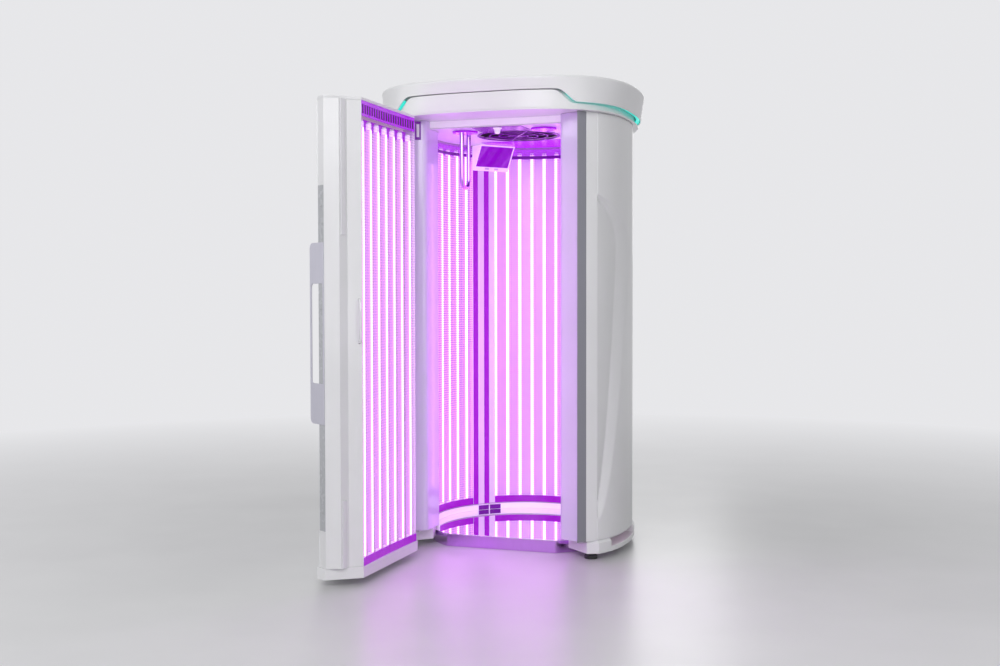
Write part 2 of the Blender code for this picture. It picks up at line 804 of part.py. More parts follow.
def make_wall_bank(name, start, end, lamps, margin):
    """One lamp bank of the cabin wall with the acrylic sheet before it."""
    levels = (HOLDER_LOW, LAMP_LOW, LAMP_TOP, HOLDER_TOP)
    holder = band(wall_point, start + SEAM_ANGLE, end - SEAM_ANGLE, HOLDER_IN, HOLDER_OUT, 16)
    angles = span(start + margin, end - margin, lamps - 1)
    places = [wall_point(a, LAMP_SETBACK) for a in angles]
    lamp_bank("lamp_bank_" + name, holder, places, levels)
    sheet = band(wall_point, start + SEAM_ANGLE, end - SEAM_ANGLE, 0.0, ACRYLIC_THICK, 16)
    finish(prism("acrylic_" + name, sheet, HOLDER_LOW, HOLDER_TOP), "acrylic")


def column_path():
    """The right post's polished column in plan, from the acrylic round to the ridge."""
    end = wall_point(WALL_END_ANGLE + COLUMN_SEAM_ANGLE, 0.0)
    inner = (DOORWAY_HALF_WIDTH, end[1] - COLUMN_LEAD)
    corner = (DOORWAY_HALF_WIDTH, POST_FRONT_Y)
    ridge_foot = front_corner(RIDGE_FOOT)
    return [end, inner] + rounded(inner, corner, ridge_foot, COLUMN_ROUND) + [ridge_foot]


def post_section():
    """The right post's outline without its ridge, and the ridge's two free corners."""
    column = inset_path(column_path()[1:], COVER + GAP)
    run = inset_path(band_path(), COVER + GAP)
    run[1] = towards(run[0], run[1], POST_BAND_REACH)
    start = (column[0][0], POST_BACK_Y)
    column = [start] + [p for p in column if p[1] < POST_BACK_Y]
    in_step, back_step = POST_HEEL_CHAMFER
    back = [(run[1][0] - in_step, run[1][1] + back_step), (DOORWAY_HALF_WIDTH + POST_HEEL_OUT, POST_BACK_Y)]
    return column, run, back


def band_path():
    """The white 45 degree band between the ridge and the side panel."""
    start = front_corner(BAND_START)
    end = body_point(BAND_END_ANGLE, 0.0)
    return start, towards(end, start, 2 * GAP)


def band_outline():
    """The band's section, mitred where it meets the side panel's edge."""
    start, end = band_path()
    start_in, end_in = inset_path([start, end], COVER)
    return [start, end, towards(end_in, start_in, COVER), start_in]


def make_post(side, name):
    """The hollow aluminium extrusion of a front post, with its grey ridge bare."""
    column, run, back = post_section()
    foot = column_path()[-1]
    tip_x, tip_y = front_corner(RIDGE_TIP)
    band_in = band_path()[0]
    before = column_path()[-2]
    clear = 2 * GAP
    ridge = [
        beyond(column[-2], column[-1], clear),
        beyond(before, foot, clear),
        (tip_x - RIDGE_TIP_HALF_WIDTH, tip_y),
        (tip_x + RIDGE_TIP_HALF_WIDTH, tip_y),
        towards(band_in, (tip_x, tip_y), GAP),
    ]
    outline = column[:-1] + ridge + run + back
    core = column[:-1] + [ridge[0], run[0], run[1]] + back
    hole = inset_path(core, POST_WALL, closed=True)
    post = prism("post_" + name, sided(outline, side), BODY_LOW, BODY_TOP, [sided(hole, side)])
    finish(post, "grey_aluminium")
    column_outline = sided(ribbon(column_path(), COVER), side)
    finish(prism("column_" + name, column_outline, BODY_LOW, BODY_TOP), "white_column")
    finish(prism("band_" + name, sided(band_outline(), side), BODY_LOW, BODY_TOP), "white_shell")


def swoosh(along, z):
    """How deep the side panel's leaf-shaped scallop is at this place, 0 to 1."""
    if not SWOOSH_BOTTOM < z < SWOOSH_TOP:
        return 0.0
    height = (z - SWOOSH_BOTTOM) / (SWOOSH_TOP - SWOOSH_BOTTOM)
    if height < SWOOSH_PEAK:
        share = (height / SWOOSH_PEAK) ** SWOOSH_TAPER
    else:
        share = 1 - ((height - SWOOSH_PEAK) / (1 - SWOOSH_PEAK)) ** SWOOSH_CROWN
    edge = SWOOSH_REACH * share
    return min(1.0, max(0.0, (edge - along) / SWOOSH_BEVEL))


def make_side_panel(side, name):
    """A vacuum-formed flank with its scallop."""
    height = BODY_TOP - BODY_LOW
    work = bmesh.new()
    bmesh.ops.create_grid(work, x_segments=PANEL_COLUMNS, y_segments=PANEL_ROWS, size=0.5)
    for vert in work.verts:
        along = vert.co.x + 0.5
        z = BODY_LOW + (vert.co.y + 0.5) * height
        angle = BAND_END_ANGLE + along * (REAR_SPLIT_ANGLE - SEAM_ANGLE - BAND_END_ANGLE)
        x, y = body_point(angle, -SWOOSH_DEPTH * swoosh(along, z) if along > 0 else 0.0)
        vert.co = (side * x, y, z)
    for face in work.faces:
        face.normal_update()
    outward = sum((face.normal.x * side for face in work.faces), 0.0)
    if outward < 0:
        bmesh.ops.reverse_faces(work, faces=work.faces)
    mesh = bpy.data.meshes.new("side_panel_" + name)
    work.to_mesh(mesh)
    work.free()
    mesh.shade_smooth()
    panel = add_object("side_panel_" + name, mesh)
    solidify = panel.modifiers.new("wall", "SOLIDIFY")
    solidify.thickness = COVER
    solidify.offset = -1.0
    finish(panel, "white_shell")


def make_rear_panel():
    start = REAR_SPLIT_ANGLE + SEAM_ANGLE
    outline = band(body_point, start, 360 - start, -COVER, 0.0, REAR_FACETS)
    finish(prism("rear_panel", outline, BODY_LOW, BODY_TOP), "white_shell")


# Ceiling, fan, grips and control panel

def circle(x, y, radius, sides):
    return [
        (x + radius * math.cos(math.tau * i / sides), y + radius * math.sin(math.tau * i / sides))
        for i in range(sides)
    ]


def make_ceiling():
    half = DOORWAY_HALF_WIDTH - GAP
    front = COLUMN_CORNER[1] + CEILING_CLEARANCE
    step_y = column_path()[1][1]
    end_angle = WALL_END_ANGLE - CEILING_TRIM_ANGLE
    curve = [wall_point(a, HOLDER_OUT) for a in span(-end_angle, end_angle, 36)]
    shoulder_y = step_y + CEILING_SHOULDER
    outline = curve + [(half, shoulder_y), (half, front), (-half, front), (-half, shoulder_y)]
    hole = circle(0.0, FAN_Y, FAN_RADIUS + FAN_TIP_GAP, 32)
    finish(prism("ceiling_panel", outline, CEILING_LOW, CEILING_TOP, [hole]), "white_shell")
    header = box("header_beam", (-half, front, HEADER_LOW), (half, front + HEADER_DEPTH, BODY_TOP))
    finish(header, "white_shell")


def spoke(name, length_low, length_high, half_width, low, high, angle, centre):
    """A flat bar that runs out from a centre."""
    place = Matrix.Translation((*centre, 0.0)) @ Matrix.Rotation(math.radians(angle), 4, "Z")
    return box(name, (length_low, -half_width, low), (length_high, half_width, high), place)


def make_fan():
    """Guard under the ceiling, frame with its motor above it, and the rotor on the motor's shaft."""
    centre = (0.0, FAN_Y)
    opening = FAN_RADIUS + FAN_TIP_GAP
    guard_low = CEILING_LOW - GAP - GUARD_THICK
    guard_high = CEILING_LOW - GAP
    rim = opening + 2 * GUARD_BAR
    hole = circle(*centre, opening, 24)
    guard = prism("fan_guard", circle(*centre, rim, 24), guard_low, guard_high, [hole])
    bars = []
    for i in range(1, GUARD_RINGS + 1):
        radius = opening * i / (GUARD_RINGS + 1)
        ring = prism(
            f"guard_ring_{i}",
            circle(*centre, radius + GUARD_BAR / 2, 18),
            guard_low,
            guard_high,
            [circle(*centre, radius - GUARD_BAR / 2, 18)],
        )
        bars.append(ring)
    for i in range(GUARD_SPOKES // 2):
        angle = 180.0 * i / (GUARD_SPOKES // 2)
        reach = opening + GUARD_BAR
        name = f"guard_spoke_{i}"
        bars.append(spoke(name, -reach, reach, GUARD_BAR / 2, guard_low, guard_high, angle, centre))
    finish(fuse(guard, *bars), "dark_plastic")

    ring_low = CEILING_TOP + GAP
    ring_high = ring_low + FAN_RING_HEIGHT
    frame = prism(
        "fan_frame",
        circle(*centre, opening + FAN_RING_WALL, 32),
        ring_low,
        ring_high,
        [circle(*centre, opening, 32)],
    )
    motor_low = ring_high - FAN_STRUT - FAN_MOTOR_DROP
    motor = cylinder("fan_motor", FAN_HUB_RADIUS, motor_low, motor_low + FAN_MOTOR_HEIGHT, *centre, sides=20)
    struts = []
    strut_low = ring_high - FAN_STRUT
    for i in range(2):
        reach = opening + FAN_RING_WALL / 2
        name = f"fan_strut_{i}"
        struts.append(spoke(name, -reach, reach, FAN_STRUT / 2, strut_low, ring_high, 45 + 90 * i, centre))
    finish(fuse(frame, motor, *struts), "black_plastic")

    hub_high = motor_low - GAP
    hub_low = hub_high - FAN_BLADE_HEIGHT
    rotor = cylinder("fan_rotor", FAN_HUB_RADIUS, hub_low, hub_high, 0.0, 0.0, sides=20)
    blades = []
    middle = (hub_low + hub_high) / 2
    for i in range(FAN_BLADES):
        turn = Matrix.Rotation(math.tau * i / FAN_BLADES, 4, "Z")
        pitch = Matrix.Rotation(math.radians(FAN_BLADE_PITCH), 4, "X")
        place = turn @ Matrix.Translation((0.0, 0.0, middle)) @ pitch
        root = FAN_HUB_RADIUS - FAN_STRUT
        chord = FAN_BLADE_CHORD / 2
        thick = FAN_BLADE_THICK / 2
        blades.append(box(f"fan_blade_{i}", (root, -chord, -thick), (FAN_RADIUS, chord, thick), place))
    fuse(rotor, *blades)
    axis = bpy.data.objects.new("fan_axis", None)
    PARTS.objects.link(axis)
    axis.location = (*centre, 0.0)
    for piece in (rotor, *blades):
        piece.parent = axis
    finish(rotor, "black_plastic")


def rosette(name, x):
    """A round plate under the ceiling, wide enough for both legs of a grip."""
    radius = GRIP_LEG_SPACING / 2 + GRIP_TUBE_RADIUS + ROSETTE_MARGIN
    top = CEILING_LOW - GAP
    return cylinder(name, radius, top - ROSETTE_THICK, top, x, GRIP_Y, sides=28)


def make_hand_grip():
    """A U-shaped grip that hangs from a rosette on the left, and the same round plate bare on the right."""
    root = CEILING_LOW - GAP - ROSETTE_THICK / 2
    half = GRIP_LEG_SPACING / 2
    bottom = CEILING_LOW - GRIP_DROP
    bend = half - GRIP_BEND_INSET
    points = [(-GRIP_X, GRIP_Y - half, root)]
    for angle in span(180.0, 360.0, 14):
        turn = math.radians(angle)
        y = GRIP_Y + math.cos(turn) * bend + math.copysign(GRIP_BEND_INSET, math.cos(turn))
        points.append((-GRIP_X, y, bottom + bend + math.sin(turn) * bend))
    points.append((-GRIP_X, GRIP_Y + half, root))
    grip = tube("hand_grip", points, GRIP_TUBE_RADIUS)
    finish(fuse(grip, rosette("grip_rosette", -GRIP_X)), "polished_steel")
    finish(rosette("ceiling_cover", GRIP_X), "dark_plastic")


def control_place():
    """The frame on the left pillar's face: X across, Y into the cabin, Z up."""
    left = Vector(mirrored([wall_point(PILLAR_ANGLE + PILLAR_HALF_ANGLE, -PILLAR_PROUD)])[0])
    right = Vector(mirrored([wall_point(PILLAR_ANGLE - PILLAR_HALF_ANGLE, -PILLAR_PROUD)])[0])
    middle = (left + right) / 2
    across = (left - right).normalized()
    into = Vector((-across.y, across.x))
    if into.dot(-middle) < 0:
        across = -across
        into = -into
    return Matrix(
        (
            (across.x, into.x, 0.0, middle.x),
            (across.y, into.y, 0.0, middle.y),
            (0.0, 0.0, 1.0, 0.0),
            (0.0, 0.0, 0.0, 1.0),
        )
    )


def housing_place():
    """The pillar face's frame, moved towards the back to the middle of the control housing."""
    return control_place() @ Matrix.Translation((-CONTROL_SHIFT, 0.0, 0.0))


def control_face():
    """The frame on the sloping face: X across, Y up the slope from its lower edge, Z out of it."""
    top = UPPER_RING_LOW - GAP
    rise = CONTROL_HEIGHT
    run = CONTROL_TOP_DEPTH - CONTROL_FOOT_DEPTH
    up = Vector((0.0, run, rise)).normalized()
    out = Vector((0.0, rise, -run)).normalized()
    across = up.cross(out)
    low = Vector((0.0, CONTROL_FOOT_DEPTH, top - rise))
    face = Matrix(
        (
            (across.x, up.x, out.x, low.x),
            (across.y, up.y, out.y, low.y),
            (across.z, up.z, out.z, low.z),
            (0.0, 0.0, 0.0, 1.0),
        )
    )
    return housing_place() @ face


def make_control_panel():
    """A wedge housing on the left pillar with its display and two keys."""
    top = UPPER_RING_LOW - GAP
    low = top - CONTROL_HEIGHT
    profile = [
        (CONTROL_STANDOFF, low),
        (CONTROL_FOOT_DEPTH, low),
        (CONTROL_TOP_DEPTH, top),
        (CONTROL_STANDOFF, top),
    ]
    to_side = Matrix(((0.0, 0.0, 1.0, 0.0), (1.0, 0.0, 0.0, 0.0), (0.0, 1.0, 0.0, 0.0), (0.0, 0.0, 0.0, 1.0)))
    housing = placed_plate("control_housing", profile, CONTROL_WIDTH, housing_place() @ to_side)
    half_boss = CONTROL_BOSS_WIDTH / 2
    boss = box(
        "control_boss",
        (-half_boss, GAP, low + CONTROL_BOSS_RISE),
        (half_boss, CONTROL_STANDOFF + CONTROL_BOSS_ROOT, top),
        control_place(),
    )
    slope = math.hypot(CONTROL_TOP_DEPTH - CONTROL_FOOT_DEPTH, CONTROL_HEIGHT)
    face = control_face()
    display_low = slope - DISPLAY_HEIGHT - DISPLAY_MARGIN
    half = DISPLAY_WIDTH / 2
    pocket = box(
        "display_pocket",
        (-half - GAP, display_low - GAP, -DISPLAY_THICK),
        (half + GAP, display_low + DISPLAY_HEIGHT + GAP, DISPLAY_THICK),
        face,
    )
    display = box(
        "control_display",
        (-half, display_low, GAP - DISPLAY_THICK),
        (half, display_low + DISPLAY_HEIGHT, -GAP),
        face,
    )
    finish(display, "display_glass")
    holes = []
    key_low = (display_low - KEY_HEIGHT) / 2
    for x, name in ((-KEY_SPACING / 2, "start_key"), (KEY_SPACING / 2, "stop_key")):
        half_key = KEY_WIDTH / 2
        holes.append(
            box(
                name + "_hole",
                (x - half_key - GAP, key_low - GAP, -KEY_DEPTH - KEY_TRAVEL),
                (x + half_key + GAP, key_low + KEY_HEIGHT + GAP, KEY_DEPTH),
                face,
            )
        )
        key = box(
            name,
            (-half_key, -KEY_HEIGHT / 2, KEY_PROUD - KEY_DEPTH),
            (half_key, KEY_HEIGHT / 2, KEY_PROUD),
            face @ Matrix.Translation((x, key_low + KEY_HEIGHT / 2, 0.0)),
        )
        finish(key, "key_plastic")
    fuse(housing, boss)
    finish(cut(housing, pocket, *holes), "white_shell")


# Canopy

CANOPY_ANGLES = [i * 5.0 for i in range(72)]


def canopy_point(angle, inset, powers):
    """A point of the canopy's plan, about the body's centre, with a fuller front half."""
    front_inset, side_inset = inset
    x, y = superellipse(
        angle,
        CANOPY_HALF_WIDTH - side_inset,
        CANOPY_FRONT - front_inset,
        CANOPY_BACK - side_inset,
        *powers,
    )
    return (x, y + BODY_CENTRE_Y)


def from_front(angle):
    return min(angle, 360.0 - angle)


def ramp(value, start, end):
    return min(1.0, max(0.0, (value - start) / (end - start)))


def cap_edge(angle):
    """The height of the cap's lower edge: high across the front, stepped down along the sides."""
    step = ramp(from_front(angle), STEP_START_ANGLE, STEP_END_ANGLE)
    return CANOPY_TOP - CAP_FRONT_DROP - (CAP_SIDE_DROP - CAP_FRONT_DROP) * step


def fascia_edge(angle):
    """The height of the fascia's upper edge, a groove below the cap."""
    opening = ramp(from_front(angle), STEP_END_ANGLE, GROOVE_OPEN_ANGLE)
    return cap_edge(angle) - GROOVE_FRONT - (GROOVE_SIDE - GROOVE_FRONT) * opening


def canopy_ring(inset, powers, height):
    """A canopy section, its height given by angle."""
    return [(*canopy_point(a, inset, powers), height(a)) for a in CANOPY_ANGLES]


def level(z):
    return lambda angle: z


def grown(inset, more):
    return (inset[0] + more, inset[1] + more)


FASCIA_INSET = (FASCIA_INSET_FRONT, FASCIA_INSET_SIDE)


def make_canopy():
    """Soffit, inner frame, stepped fascia, accent light and the cap over them."""
    soffit = [canopy_point(a, FASCIA_INSET, CANOPY_LOWER_POWERS) for a in CANOPY_ANGLES]
    well = circle(0.0, FAN_Y, FAN_RADIUS + FAN_TIP_GAP + FAN_RING_WALL + 2 * GAP, 32)
    finish(prism("roof_plate", soffit, ROOF_LOW, ROOF_TOP, [well]), "white_shell")

    outer = grown(FASCIA_INSET, CANOPY_FRAME_INSET)
    inner = grown(outer, CANOPY_FRAME_WALL)
    frame_top = CANOPY_TOP - CAP_WALL - GAP
    frame_rings = [
        canopy_ring(outer, CANOPY_LOWER_POWERS, level(CANOPY_LOW)),
        canopy_ring(outer, CANOPY_LOWER_POWERS, level(frame_top)),
        canopy_ring(inner, CANOPY_LOWER_POWERS, level(frame_top)),
        canopy_ring(inner, CANOPY_LOWER_POWERS, level(CANOPY_LOW)),
    ]
    finish(loft("canopy_frame", frame_rings, closed=True), "steel")

    skin = grown(FASCIA_INSET, COVER)
    fascia_rings = [
        canopy_ring(FASCIA_INSET, CANOPY_LOWER_POWERS, level(CANOPY_LOW)),
        canopy_ring(FASCIA_INSET, CANOPY_LOWER_POWERS, fascia_edge),
        canopy_ring(skin, CANOPY_LOWER_POWERS, fascia_edge),
        canopy_ring(skin, CANOPY_LOWER_POWERS, level(CANOPY_LOW)),
    ]
    finish(loft("canopy_fascia", fascia_rings, closed=True), "white_shell")

    back = grown(outer, -GAP)
    front = grown(outer, -ACCENT_DEPTH)
    accent_low = CANOPY_LOW + GAP
    accent_rings = [
        canopy_ring(front, CANOPY_LOWER_POWERS, level(accent_low)),
        canopy_ring(front, CANOPY_LOWER_POWERS, level(accent_low + ACCENT_HEIGHT)),
        canopy_ring(back, CANOPY_LOWER_POWERS, level(accent_low + ACCENT_HEIGHT)),
        canopy_ring(back, CANOPY_LOWER_POWERS, level(accent_low)),
    ]
    finish(loft("accent_light", accent_rings, closed=True), "teal_diffuser")

    lower = (FASCIA_INSET_FRONT - COVER, CAP_TAPER)
    round_in, round_down = CAP_EDGE_ROUND
    flush = (0.0, 0.0)
    cap_rings = [
        canopy_ring(grown(flush, round_in), CANOPY_POWERS, level(CANOPY_TOP)),
        canopy_ring(flush, CANOPY_POWERS, level(CANOPY_TOP - round_down)),
        canopy_ring(lower, CANOPY_LOWER_POWERS, cap_edge),
        canopy_ring(grown(lower, CAP_WALL), CANOPY_LOWER_POWERS, cap_edge),
        canopy_ring(grown(flush, CAP_WALL + round_in), CANOPY_POWERS, level(CANOPY_TOP - CAP_WALL)),
    ]
    finish(loft("canopy_cap", cap_rings), "white_shell")


def make_electrics():
    """Ballasts on a tray in the canopy, and the mains inlet on the rear panel."""
    low = CANOPY_LOW
    half_width = BALLAST_COUNT * BALLAST_PITCH / 2
    half_length = BALLAST_LENGTH / 2
    half_tray = half_length + BALLAST_TRAY_MARGIN
    tray = box(
        "ballast_tray",
        (BALLAST_X - half_tray, BALLAST_Y - half_width, low),
        (BALLAST_X + half_tray, BALLAST_Y + half_width, low + BALLAST_SHEET),
    )
    blocks = []
    for i in range(BALLAST_COUNT):
        y = BALLAST_Y - half_width + BALLAST_PITCH * (i + 0.5)
        blocks.append(
            box(
                f"ballast_{i}",
                (BALLAST_X - half_length, y - BALLAST_WIDTH / 2, low + BALLAST_SHEET / 2),
                (BALLAST_X + half_length, y + BALLAST_WIDTH / 2, low + BALLAST_HEIGHT),
            )
        )
    finish(fuse(tray, *blocks), "steel")

    half_facet = (180.0 - REAR_SPLIT_ANGLE - SEAM_ANGLE) / REAR_FACETS
    face_y = body_point(180.0 - half_facet, 0.0)[1] + GAP
    inlet = box(
        "mains_inlet",
        (-INLET_WIDTH / 2, face_y, INLET_Z - INLET_HEIGHT / 2),
        (INLET_WIDTH / 2, face_y + INLET_DEPTH, INLET_Z + INLET_HEIGHT / 2),
    )
    outlet = Matrix.Translation((0.0, face_y + INLET_DEPTH, INLET_Z))
    lie_back = outlet @ Matrix.Rotation(math.radians(-90), 4, "X")
    gland = cylinder("inlet_gland", GLAND_RADIUS, -GLAND_ROOT, GLAND_LENGTH, 0.0, 0.0, sides=16)
    gland.matrix_world = lie_back
    finish(fuse(inlet, gland), "black_plastic")


# Door

DOOR_AXIS = bpy.data.objects.new("door_axis", None)
PARTS.objects.link(DOOR_AXIS)
DOOR_AXIS.location = (HINGE_X, HINGE_Y, 0.0)
DOOR_AXIS.rotation_euler.z = math.radians(-DOOR_OPEN_ANGLE)


def hang(obj):
    """Hangs a piece drawn in the closed door's place, with its helpers, on the hinge axis."""
    helpers = [m.object for m in obj.modifiers if m.type == "BOOLEAN"]
    for piece in (obj, *helpers):
        drawn = piece.matrix_world.copy()
        piece.parent = DOOR_AXIS
        piece.matrix_basis = Matrix.Translation((-HINGE_X, -HINGE_Y, 0.0)) @ drawn
    return obj


def door_arc(inner, outer, half_span, steps=14):
    return arc_band(CHAMFER_END, DOOR_OUTER_APEX, -inner, -outer, half_span, steps)


def lamp_arc(inner, outer, half_span, steps=12):
    return arc_band(COLUMN_CORNER, DOOR_INNER_APEX, inner, outer, half_span, steps)


def hinge_arm(name, low, high):
    """The arm that reaches from the door to the pivot, with its round eye."""
    arm = box(
        name + "_arm",
        (HINGE_X, HINGE_Y - HINGE_ARM_HALF_WIDTH, low),
        (-FLANGE_INNER[0] + HINGE_ARM_ROOT, HINGE_Y + HINGE_ARM_HALF_WIDTH, high),
    )
    eye = cylinder(name + "_eye", HINGE_EYE_RADIUS, low, high, HINGE_X, HINGE_Y, sides=20)
    return arm, eye


def pin_hole(name, low, high):
    radius = HINGE_PIN_RADIUS + HINGE_PIN_RUN
    return cylinder(name + "_pin_hole", radius, low - OVERSHOOT, high + OVERSHOOT, HINGE_X, HINGE_Y, sides=20)


def door_plan(proud):
    """The whole door's plan: chord inside, slanted ends, chamfers and the outer arc."""
    slant = proud * DOOR_BASE_SLANT
    corner = (COLUMN_CORNER[0] + proud, COLUMN_CORNER[1] + slant)
    flange = (FLANGE_OUTER[0], FLANGE_OUTER[1] - slant)
    chamfer = (CHAMFER_END[0] + proud, CHAMFER_END[1] - proud)
    arc = [(x, arc_y(x, chamfer, DOOR_OUTER_APEX - proud)) for x in span(chamfer[0], -chamfer[0], 20)]
    return [corner, flange] + arc + [(-flange[0], flange[1]), (-corner[0], corner[1])]


def make_door_ends():
    """The moulded base that the door stands in and the plate that closes its top, both with pivot arms."""
    base = prism("door_base", door_plan(DOOR_BASE_PROUD), PLINTH_CLEARANCE, DOOR_BASE_TOP)
    arm_high = DOOR_BASE_TOP - HINGE_ARM_DROP
    arm_low = arm_high - HINGE_ARM_THICK
    fuse(base, *hinge_arm("door_base", arm_low, arm_high))
    cut(base, pin_hole("door_base", arm_low, arm_high))
    finish(hang(base), "white_shell")
    top = prism("door_top", door_plan(0.0), DOOR_TOP_LOW, DOOR_TOP)
    fuse(top, *hinge_arm("door_top", DOOR_TOP_LOW, DOOR_TOP))
    cut(top, pin_hole("door_top", DOOR_TOP_LOW, DOOR_TOP))
    finish(hang(top), "white_shell")


def make_hinges():
    """The fixed pivots: a plate under the left post below, a flanged pin under the soffit above."""
    on_right = [
        front_corner(HINGE_PLATE_INNER),
        front_corner(HINGE_PLATE_OUTER),
        (-HINGE_X + HINGE_EYE_RADIUS, HINGE_Y),
        (-HINGE_X, HINGE_Y - HINGE_EYE_RADIUS),
        (-HINGE_X - HINGE_EYE_RADIUS, HINGE_Y),
        front_corner(HINGE_PLATE_NEAR),
    ]
    lower = prism("hinge_lower", mirrored(on_right), HINGE_PLATE_LOW, HINGE_PLATE_LOW + HINGE_PLATE)
    pin_low = DOOR_BASE_TOP - HINGE_ARM_DROP - HINGE_ARM_THICK
    pin_high = HINGE_PLATE_LOW + HINGE_PIN_ROOT
    lower_pin = cylinder("hinge_lower_pin", HINGE_PIN_RADIUS, pin_low, pin_high, HINGE_X, HINGE_Y, sides=20)
    finish(fuse(lower, lower_pin), "steel")
    flange_low = BODY_TOP - HINGE_FLANGE
    upper = cylinder("hinge_upper", HINGE_PIN_RADIUS * 2, flange_low, BODY_TOP, HINGE_X, HINGE_Y, sides=20)
    pin_high = flange_low + HINGE_FLANGE / 2
    pin_low = DOOR_TOP_LOW
    upper_pin = cylinder("hinge_upper_pin", HINGE_PIN_RADIUS, pin_low, pin_high, HINGE_X, HINGE_Y, sides=20)
    finish(fuse(upper, upper_pin), "steel")


def make_stile(side, name):
    """A hollow aluminium stile: flange, recess and column in one section."""
    shoulder = lamp_arc(0.0, REFLECTOR_OUT + REFLECTOR_GAP, COLUMN_CORNER[0], 1)[2]
    edge_in = door_arc(COVER + REFLECTOR_GAP, 0.0, CHAMFER_END[0], 1)[1]
    outline = [
        COLUMN_CORNER,
        RECESS_CORNER,
        FLANGE_INNER,
        FLANGE_OUTER,
        CHAMFER_END,
        edge_in,
        front_corner(STILE_HEEL),
        shoulder,
    ]
    hole = inset_path(outline, -POST_WALL, closed=True)
    stile = prism("door_stile_" + name, sided(outline, side), DOOR_LOW, DOOR_HIGH, [sided(hole, side)])
    finish(hang(stile), "white_column")


def make_door_skins():
    """Outer panels in three lengths, and the lamp side: reflector, lamps, acrylic and the vent strip."""
    half = CHAMFER_END[0] - 2 * GAP
    panels = (
        ("door_panel_lower", DOOR_LOW, DOOR_LOWER_SEAM, DOOR_COVER_PROUD, "white_shell"),
        ("door_panel_middle", DOOR_LOWER_SEAM + GAP, DOOR_UPPER_SEAM, 0.0, "mid_grey_panel"),
        ("door_panel_upper", DOOR_UPPER_SEAM + GAP, DOOR_HIGH, DOOR_COVER_PROUD, "white_shell"),
    )
    for name, low, high, proud, finish_name in panels:
        finish(hang(prism(name, door_arc(COVER, -proud, half), low, high)), finish_name)

    inside = COLUMN_CORNER[0] - 2 * GAP
    sheet = lamp_arc(0.0, ACRYLIC_THICK, inside)
    finish(hang(prism("door_acrylic", sheet, DOOR_LOW, DOOR_VENT_LOW - GAP)), "acrylic")
    vent = lamp_arc(0.0, 2 * ACRYLIC_THICK, inside)
    finish(hang(prism("door_vent_strip", vent, DOOR_VENT_LOW, DOOR_HIGH)), "dark_plastic")
    reflector = lamp_arc(REFLECTOR_IN, REFLECTOR_OUT, inside)
    finish(hang(prism("door_reflector", reflector, DOOR_LOW, DOOR_HIGH)), "reflector_sheet")
    holder = lamp_arc(HOLDER_IN, HOLDER_OUT, inside)
    lamp_span = COLUMN_CORNER[0] - DOOR_LAMP_MARGIN
    centre_line = lamp_arc(LAMP_SETBACK, LAMP_SETBACK, lamp_span, DOOR_LAMPS - 1)
    places = centre_line[:DOOR_LAMPS]
    levels = (DOOR_LOW, DOOR_LOW + DOOR_LOWER_HOLDER, DOOR_VENT_LOW, DOOR_HIGH)
    hang(lamp_bank("door_lamp_bank", holder, places, levels))


def make_door_handles():
    """The slotted pull plate on the free edge's chamfer and the bow pull inside."""
    start = Vector(FLANGE_OUTER)
    run = (Vector(CHAMFER_END) - start).normalized()
    out = Vector((-run.y, run.x))
    if out.x < 0:
        out = -out
    length = (Vector(CHAMFER_END) - start).length + HANDLE_OVERHANG
    origin = start + out * (GAP + HANDLE_THICK / 2)
    place = Matrix(
        (
            (0.0, run.x, out.x, origin.x),
            (0.0, run.y, out.y, origin.y),
            (1.0, 0.0, 0.0, 0.0),
            (0.0, 0.0, 0.0, 1.0),
        )
    )
    slot_in = HANDLE_HEM
    slot_out = length - HANDLE_RIM
    corners = [(SLOT_BOTTOM, slot_in), (SLOT_BOTTOM, slot_out), (SLOT_TOP, slot_out), (SLOT_TOP, slot_in)]
    slot = [corners[0]]
    slot += rounded(corners[0], corners[1], corners[2], SLOT_ROUND)
    slot += rounded(corners[1], corners[2], corners[3], SLOT_ROUND)
    slot.append(corners[3])
    edge = HANDLE_THICK / 2
    ends = [(HANDLE_BOTTOM, edge), (HANDLE_BOTTOM, length), (HANDLE_TOP, length), (HANDLE_TOP, edge)]
    plate = [ends[0]]
    plate += rounded(ends[0], ends[1], ends[2], HANDLE_ROUND)
    plate += rounded(ends[1], ends[2], ends[3], HANDLE_ROUND)
    plate.append(ends[3])
    handle = placed_plate("door_handle", plate, HANDLE_THICK, place, [slot])
    finish(hang(handle), "lilac_aluminium")

    face_run = (Vector(RECESS_CORNER) - Vector(COLUMN_CORNER)).normalized()
    face_out = Vector((-face_run.y, face_run.x))
    if face_out.y < 0:
        face_out = -face_out
    seat = Vector(COLUMN_CORNER) + face_run * PULL_SEAT + face_out * GAP
    middle = (PULL_BOTTOM + PULL_TOP) / 2
    half = (PULL_TOP - PULL_BOTTOM) / 2
    points = [(seat.x, seat.y, PULL_BOTTOM)]
    for angle in span(-90.0, 90.0, 12):
        turn = math.radians(angle)
        stand = seat + face_out * (PULL_RADIUS + (PULL_STAND - PULL_RADIUS) * math.cos(turn) ** PULL_BOW)
        points.append((stand.x, stand.y, middle + math.sin(turn) * half))
    points.append((seat.x, seat.y, PULL_TOP))
    pull = tube("door_pull", points, PULL_RADIUS)
    finish(hang(pull), "white_column")


